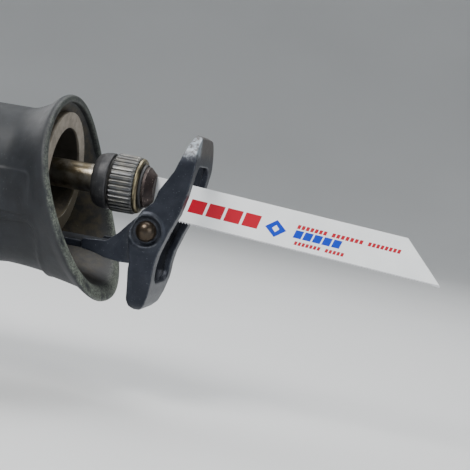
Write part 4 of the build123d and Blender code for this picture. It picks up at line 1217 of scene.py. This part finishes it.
@dataclass
class Clamp:
    """Blade clamp: ribbed twist collar, bezel, clip, sleeve and spring on the spindle's nose."""

    ribs: int = 36
    outer: float = 14.2
    valley: float = 13.55
    bore: float = 8.6
    front: float = -8.4
    rear: float = -20.8
    points_per_rib: int = 10
    bezel_profile: tuple[Point, ...] = (
        (0.02, 8.7), (1.2, 8.7), (1.2, 11.4), (1.9, 11.8), (1.9, 12.5), (1.3, 13.3), (0.45, 13.6),
        (0.02, 13.3),
    )
    clip_profile: tuple[Point, ...] = (
        (-6.6, 8.55), (-5.1, 8.55), (-5.1, 10.6), (-5.6, 10.95), (-6.6, 10.95),
    )
    sleeve_profile: tuple[Point, ...] = (
        (-30.0, 8.52), (-30.0, 10.6), (-29.6, 11.5), (-28.6, 12.6), (-26.4, 13.45), (-24.2, 13.75),
        (-22.3, 13.8), (-21.8, 13.4), (-21.8, 12.0), (-21.25, 12.0), (-21.25, 8.52),
    )
    spring_turns: float = 2.0
    spring_wire: float = 0.7
    spring_ring: float = 10.6
    spring_lead: float = 0.96

    def collar(self) -> bpy.types.Object:
        """Make the ribbed collar.

        Returns:
            The collar's piece.
        """
        steps = self.ribs * self.points_per_rib
        angles = np.arange(steps) * 2 * math.pi / steps
        wave = 0.5 + 0.5 * np.cos(angles * self.ribs)
        crest = step_up(wave, 0.12, 0.62)
        stations = ((0.0, 1.2, 0.0), (0.05, 0.55, 0.1), (0.35, 0.2, 0.55), (0.9, 0.04, 0.95), (1.6, 0.0, 1.0))
        length = self.front - self.rear
        rows = []
        profile = [(self.rear + a, b, c) for a, b, c in stations]
        profile += [(self.rear + length * share, 0.0, 1.0) for share in (0.3, 0.5, 0.7)]
        profile += [(self.front - a, b, c) for a, b, c in reversed(stations)]
        for x, drop, ribbed in profile:
            radius = self.valley + (self.outer - self.valley) * crest * ribbed - drop * 0.8
            rows.append(np.stack([np.full(steps, x), radius * np.cos(angles), radius * np.sin(angles)], -1))
        for x, radius in ((self.front, 9.0), (self.front - 0.4, self.bore), (self.rear + 0.4, self.bore),
                          (self.rear, 9.0)):
            rows.append(np.stack([np.full(steps, x), radius * np.cos(angles), radius * np.sin(angles)], -1))
        faces = Mesher.tube_faces(len(rows), steps, True)
        return Mesher.piece("clamp_ribbed_collar", np.concatenate(rows), faces, 50)

    def bezel(self) -> bpy.types.Object:
        """Make the bezel ring at the collar's front."""
        profile = [(self.front + ahead, radius) for ahead, radius in self.bezel_profile]
        return Mesher.turned("clamp_bezel", profile, 0.25)

    def clip(self) -> bpy.types.Object:
        """Make the retaining clip in front of the bezel."""
        return Mesher.turned("clamp_clip", list(self.clip_profile), 0.2)

    def sleeve(self) -> bpy.types.Object:
        """Make the smooth sleeve behind the collar."""
        return Mesher.turned("clamp_sleeve", list(self.sleeve_profile), 0.3)

    def spring(self) -> bpy.types.Object:
        """Make the collar's torsion spring as a wound wire.

        Returns:
            The spring's piece.
        """
        wire, ring = self.spring_wire, self.spring_ring
        steps, sides = 120, 10
        rows = []
        for number in range(steps + 1):
            angle = 2 * math.pi * self.spring_turns * number / steps
            x = self.rear + 0.95 + self.spring_lead * self.spring_turns * number / steps
            for side in range(sides):
                lean = 2 * math.pi * side / sides
                radius = ring + wire * math.cos(lean)
                rows.append((x + wire * math.sin(lean), radius * math.cos(angle), radius * math.sin(angle)))
        return Mesher.piece("clamp_spring", np.array(rows), Mesher.tube_faces(steps + 1, sides, False))

    def dress(self, finishes: Finishes) -> list[bpy.types.Object]:
        """Build the clamp's pieces, dress them and place them.

        Args:
            finishes: The saw's finishes.

        Returns:
            The pieces made.
        """
        return [
            settle(finishes.dress(self.collar(), finishes.gunmetal), "collar", "clamp_collar"),
            settle(finishes.dress(self.bezel(), finishes.bezel), "collar", "collar_bezel"),
            settle(finishes.dress(self.clip(), finishes.dark_oxide), "spindle", "collar_clip"),
            settle(finishes.dress(self.sleeve(), finishes.dark_oxide), "spindle", "collar_sleeve"),
            settle(finishes.dress(self.spring(), finishes.ground_steel), "spindle", "collar_spring"),
        ]


@dataclass
class Blade:
    """Metal-cutting blade with fine set teeth."""

    cant: float = 3.8
    back: float = 5.95
    width: float = 19.05
    thick: float = 0.9
    reach: float = 142.9
    tip_slope: float = 19.8
    pitch: float = 1.41
    depth: float = 0.8
    first_tooth: float = 4.0
    tang_length: float = 19.0
    tang_half: float = 6.3
    set_out: float = 0.13
    tooth_shape: tuple[Point, ...] = ((0.12, 0.55), (0.34, 1.0), (0.58, 0.82), (1.0, 0.0))

    def outline(self) -> list[Point]:
        """Side view of the blade in its own coordinates.

        Returns:
            The closed outline.
        """
        edge = self.back - self.width
        found: list[Point] = [(1.2, edge), (self.first_tooth, edge)]
        teeth = int((self.reach - self.first_tooth - 3) / self.pitch)
        for tooth in range(teeth):
            foot = self.first_tooth + tooth * self.pitch
            found += [(foot + a * self.pitch, edge + b * self.depth) for a, b in self.tooth_shape]
        found += [(self.reach - 0.35, edge), (self.reach, edge + 0.55)]
        found.append((self.reach - self.tip_slope, self.back))
        found += [(1.2, self.back), (0.2, self.back - 0.1), (-1.5, self.tang_half)]
        found += [(-self.tang_length + 0.6, self.tang_half), (-self.tang_length, self.tang_half - 0.6)]
        found += [(-self.tang_length, -self.tang_half + 0.6), (-self.tang_length + 0.6, -self.tang_half)]
        found += [(-1.5, -self.tang_half)]
        return found

    def build(self) -> bpy.types.Object:
        """Make the blade as four layers of its outline, with broken edges and set teeth.

        Returns:
            The blade's piece.
        """
        flat = np.array(self.outline())
        count = len(flat)
        nearby = np.roll(flat, -1, 0) - np.roll(flat, 1, 0)
        inward = np.stack([-nearby[:, 1], nearby[:, 0]], -1)
        inward /= np.linalg.norm(inward, axis=1, keepdims=True)
        cosine, sine = math.cos(math.radians(self.cant)), math.sin(math.radians(self.cant))
        half, edge = self.thick / 2, self.back - self.width
        layers = []
        for share, inset in ((-1.0, 0.10), (-0.8, 0.0), (0.8, 0.0), (1.0, 0.10)):
            spot = flat + inward * inset
            low = 1 - step_up(spot[:, 1], edge, edge + 1.1)
            sway = self.set_out * np.sin(2 * math.pi * spot[:, 0] / (4 * self.pitch)) * low
            sway *= step_up(spot[:, 0], 3.0, 6.0)
            along = spot[:, 0] * cosine + spot[:, 1] * sine
            upright = -spot[:, 0] * sine + spot[:, 1] * cosine
            layers.append(np.stack([along, share * half + sway, upright], -1))
        return Mesher.piece("blade_body", np.concatenate(layers), Mesher.tube_faces(4, count, False), 24.0)

    def dress(self, finishes: Finishes) -> list[bpy.types.Object]:
        """Build the blade, dress it and place it.

        Args:
            finishes: The saw's finishes.

        Returns:
            The pieces made.
        """
        return [settle(finishes.dress(self.build(), finishes.blade), "spindle", "blade")]


@dataclass
class Shoe:
    """Pivoting shoe with its bracket and rivets, all pressed from plate."""

    pivot_x: float = 3.8
    pivot_z: float = -19.7
    half_width: float = 22.5
    dish_radius: float = 6.6
    dish_depth: float = 0.9
    dish_rim: float = 0.8
    head_radius: float = 5.0
    head_height: float = 4.2
    shank: float = 3.45

    def plate(self, node: bpy.types.Object) -> bpy.types.Object:
        """Make the shoe, with a pressed dish round each rivet.

        Args:
            node: The shoe's CAD node.

        Returns:
            The shoe's piece.
        """
        made = Mesher.remade("shoe_plate", node, 0.42, 5)
        places = Mesher.places(made)
        far = np.hypot(places[:, 0] - self.pivot_x, places[:, 2] - self.pivot_z)
        skin = step_up(np.abs(places[:, 1]), self.half_width - 1.2, self.half_width - 0.5)
        dish = (1 - step_up(far, self.dish_radius - 0.9, self.dish_radius + 0.9)) * self.dish_depth
        lip = np.exp(-(((far - self.dish_radius - 1.3) / 1.0) ** 2)) * self.dish_rim
        places[:, 1] += np.sign(places[:, 1]) * skin * (lip - dish)
        widest = self.half_width + self.dish_rim
        places[:, 1] = np.clip(places[:, 1], -widest, widest)
        Mesher.replace_places(made, places)
        return made

    def rivets(self) -> bpy.types.Object:
        """Make the two domed rivets as one turned mesh each side.

        Returns:
            The rivets' piece.
        """
        outer = self.half_width - self.dish_depth
        profile = [(0.0, self.half_width - 7.9), (4.0, self.half_width - 7.9), (4.4, self.half_width - 7.5),
                   (4.4, self.half_width - 6.6), (self.shank, self.half_width - 6.4), (self.shank, outer)]
        profile += [(self.head_radius * 0.96, outer), (self.head_radius, outer + 0.5)]
        for step in range(1, 13):
            angle = math.pi / 2 * step / 12
            out = outer + 0.5 + (self.head_height + 0.3) * math.sin(angle)
            profile.append((self.head_radius * math.cos(angle), out))
        steps = 64
        points: list[tuple[float, float, float]] = []
        faces: list[tuple[int, ...]] = []
        for side in (-1, 1):
            first = len(points)
            rings = [spot for spot in profile[1:-1]]
            for radius, out in rings:
                for number in range(steps):
                    angle = 2 * math.pi * number / steps * side
                    points.append((self.pivot_x + radius * math.cos(angle), side * out,
                                   self.pivot_z + radius * math.sin(angle)))
            for face in Mesher.tube_faces(len(rings), steps, False):
                faces.append(tuple(first + number for number in face))
        return Mesher.piece("shoe_rivet_pair", np.array(points), faces, 40.0)

    def dress(self, finishes: Finishes, nodes: dict[str, bpy.types.Object]) -> list[bpy.types.Object]:
        """Build the shoe's pieces, dress them and place them.

        Args:
            finishes: The saw's finishes.
            nodes: The CAD nodes.

        Returns:
            The pieces made.
        """
        bracket = Mesher.remade("shoe_trough", nodes["shoe_bracket"], 0.42, 4)
        return [
            settle(finishes.dress(self.plate(nodes["shoe"]), finishes.oxide), "shoe", "shoe"),
            settle(finishes.dress(self.rivets(), finishes.rivet), "shoe_bracket", "shoe_rivets"),
            settle(finishes.dress(bracket, finishes.oxide), "shoe_bracket", "shoe_bracket"),
        ]


@dataclass
class TriggerCoil:
    """Spring behind the trigger, copied as it stands in the CAD frame; the real spring closes up as the
    trigger is pulled.
    """

    fixed_end: float = -422.6
    length: float = 8.2
    travel: float = 7.0

    def dress(self, finishes: Finishes, nodes: dict[str, bpy.types.Object]) -> list[bpy.types.Object]:
        """Copy the spring and dress it.

        Args:
            finishes: The saw's finishes.
            nodes: The CAD nodes.

        Returns:
            The pieces made.
        """
        node = nodes["trigger_spring"]
        coil = bpy.data.objects.new("trigger_coil", node.data.copy())
        bpy.context.scene.collection.objects.link(coil)
        settle(finishes.dress(coil, finishes.ground_steel), "housing", "trigger_spring")
        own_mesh(coil)
        return [coil]


@dataclass
class Carried:
    """CAD nodes whose shape stays, and the finish that each one gets."""

    def table(self, finishes: type[Finishes]) -> dict[str, Finish]:
        """Finish of each carried node.

        Args:
            finishes: The saw's finishes.

        Returns:
            Finishes by node.
        """
        steel, casting, black = finishes.ground_steel, finishes.casting, finishes.black_plastic
        return {
            "spindle": finishes.spindle, "clamp_body": finishes.nose, "lock_pin": steel,
            "wobble_arm": steel, "jackshaft": steel, "wobble_hub": steel, "drive_gear": steel,
            "jackshaft_front_bearing": steel, "jackshaft_rear_bearing": steel,
            "spindle_bush": finishes.bronze, "spindle_seal": finishes.seal,
            "seal_retainer": finishes.seal, "rear_guide_bush": finishes.bronze, "gearcase": casting,
            "lever_pin": steel, "shoe_lever": finishes.dark_oxide, "armature_shaft": steel,
            "armature_core": finishes.lamination, "commutator": finishes.copper,
            "cooling_fan": black, "field_stator": finishes.lamination,
            "armature_front_bearing": steel, "armature_rear_bearing": steel,
            "bearing_plate": casting, "motor_housing": finishes.housing, "case_screws": steel,
            "brushes": finishes.carbon, "brush_holders": black, "brush_springs": steel,
            "brush_caps": black, "grip_overmould": finishes.grip, "handle_left": finishes.shell,
            "handle_right": finishes.shell, "handle_screws": steel, "trigger": black,
            "trigger_switch": black, "lock_button": black, "speed_dial": black, "cord_inlet": black,
            "inlet_pins": steel,
        }

    def dress(self, finishes: Finishes, nodes: dict[str, bpy.types.Object]) -> list[bpy.types.Object]:
        """Dress the carried nodes.

        Args:
            finishes: The saw's finishes.
            nodes: The CAD nodes.

        Returns:
            The nodes dressed.
        """
        return [finishes.dress(nodes[name], finish) for name, finish in self.table(Finishes).items()]


@dataclass(frozen=True)
class Lamp:
    """A soft square light, with its places and side in metres and its power in watts."""

    name: str
    place: tuple[float, float, float]
    target: tuple[float, float, float]
    size: float
    power: float
    tint: Colour = (1.0, 1.0, 1.0)

    def hang(self) -> None:
        """Add the light to the scene."""
        data = bpy.data.lights.new(self.name, "AREA")
        data.size = self.size
        data.energy = self.power
        data.color = self.tint
        lamp = bpy.data.objects.new(self.name, data)
        lamp.location = self.place
        facing = Vector(self.target) - Vector(self.place)
        lamp.rotation_euler = facing.to_track_quat("-Z", "Y").to_euler()
        bpy.context.scene.collection.objects.link(lamp)


@dataclass
class Studio:
    """Pale floor, soft lights and the camera."""

    turn: float = 8.5
    dip: float = 3.0
    roll: float = 9.75
    lens: float = 82.72
    place: tuple[float, float, float] = (118.7, -512.6, 12.0)
    floor_gap: float = 0.2
    lamps: tuple[Lamp, ...] = (
        Lamp("key", (-0.45, -0.75, 0.95), (0.0, 0.0, 0.0), 0.55, 17.0, (1.0, 0.985, 0.96)),
        Lamp("fill", (0.9, -0.9, 0.35), (0.0, 0.0, 0.0), 0.9, 7.0, (0.93, 0.97, 1.0)),
        Lamp("top", (0.1, 0.35, 1.1), (-0.05, 0.0, 0.0), 0.8, 12.0),
        Lamp("rear", (-1.1, 0.7, 0.7), (-0.25, 0.0, 0.0), 0.8, 8.0),
    )

    def camera(self) -> None:
        """Set the scene's camera."""
        turn, dip, roll = (math.radians(value) for value in (self.turn, self.dip, self.roll))
        ahead = Vector((-math.sin(turn) * math.cos(dip), math.cos(turn) * math.cos(dip), -math.sin(dip)))
        right = Vector((math.cos(turn), math.sin(turn), 0))
        up = right.cross(ahead)
        tilted_right = right * math.cos(roll) + up * math.sin(roll)
        tilted_up = up * math.cos(roll) - right * math.sin(roll)
        data = bpy.data.cameras.new("camera")
        data.lens = self.lens
        data.sensor_width = 36.0
        data.clip_start, data.clip_end = 0.01, 50.0
        camera = bpy.data.objects.new("camera", data)
        bpy.context.scene.collection.objects.link(camera)
        basis = Matrix((tilted_right, tilted_up, -ahead)).transposed().to_4x4()
        camera.matrix_world = Matrix.Translation(Vector(self.place) * MM) @ basis
        bpy.context.scene.camera = camera

    def floor(self, lowest: float) -> None:
        """Make a pale floor that curves up far behind into a backdrop on every side.

        Args:
            lowest: Height of the saw's lowest point in metres.
        """
        steps, rows = 96, []
        profile = [(1.6, 0.0)]
        for lean in np.linspace(0.12, math.pi / 2, 14):
            profile.append((1.6 + 1.4 * math.sin(lean), 1.4 - 1.4 * math.cos(lean)))
        profile.append((3.0, 4.0))
        for radius, height in profile:
            angles = np.arange(steps) * 2 * math.pi / steps
            rows.append(np.stack([radius * np.cos(angles) - 0.15, radius * np.sin(angles),
                                  np.full(steps, height + lowest - self.floor_gap * MM)], -1))
        faces = Mesher.tube_faces(len(rows), steps, False)[:-1]
        floor = Mesher.piece("floor", np.concatenate(rows) / MM, faces, 40.0)
        graph = Graph("pale floor")
        cloud = graph.band(graph.noise(400.0, 2.0, 0.5), 0.3, 0.7)
        pale = graph.mix(cloud, (0.66, 0.67, 0.675), (0.69, 0.70, 0.705))
        graph.feed(graph.shader.inputs["Base Color"], pale)
        graph.shader.inputs["Roughness"].default_value = 0.75
        floor.data.materials.append(graph.material)
        floor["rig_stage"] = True

    def build(self, lowest: float) -> None:
        """Set up the floor, lights and camera.

        Args:
            lowest: Height of the saw's lowest point in metres.
        """
        self.floor(lowest)
        self.camera()
        for lamp in self.lamps:
            lamp.hang()
        world = bpy.data.worlds.new("studio")
        world.use_nodes = True
        world.node_tree.nodes["Background"].inputs["Color"].default_value = (0.80, 0.84, 0.88, 1.0)
        world.node_tree.nodes["Background"].inputs["Strength"].default_value = 0.42
        bpy.context.scene.world = world


def main() -> None:
    """Load the frame, build every sub-assembly around it and report the pieces."""
    logging.basicConfig(level=logging.INFO, format="%(name)s: %(message)s")
    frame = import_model()
    cad_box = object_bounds()
    nodes = frame["nodes"]
    finishes = Finishes()
    made = Boot().dress(finishes)
    made += Clamp().dress(finishes)
    made += Blade().dress(finishes)
    made += Shoe().dress(finishes, nodes)
    made += TriggerCoil().dress(finishes, nodes)
    made += Carried().dress(finishes, nodes)
    for piece in made:
        LOG.info("%s: %d faces, %s", piece.name, len(piece.data.polygons), piece.data.materials[0].name)
    Studio().build(cad_box[0].z)


if __name__ == "__main__":
    main()
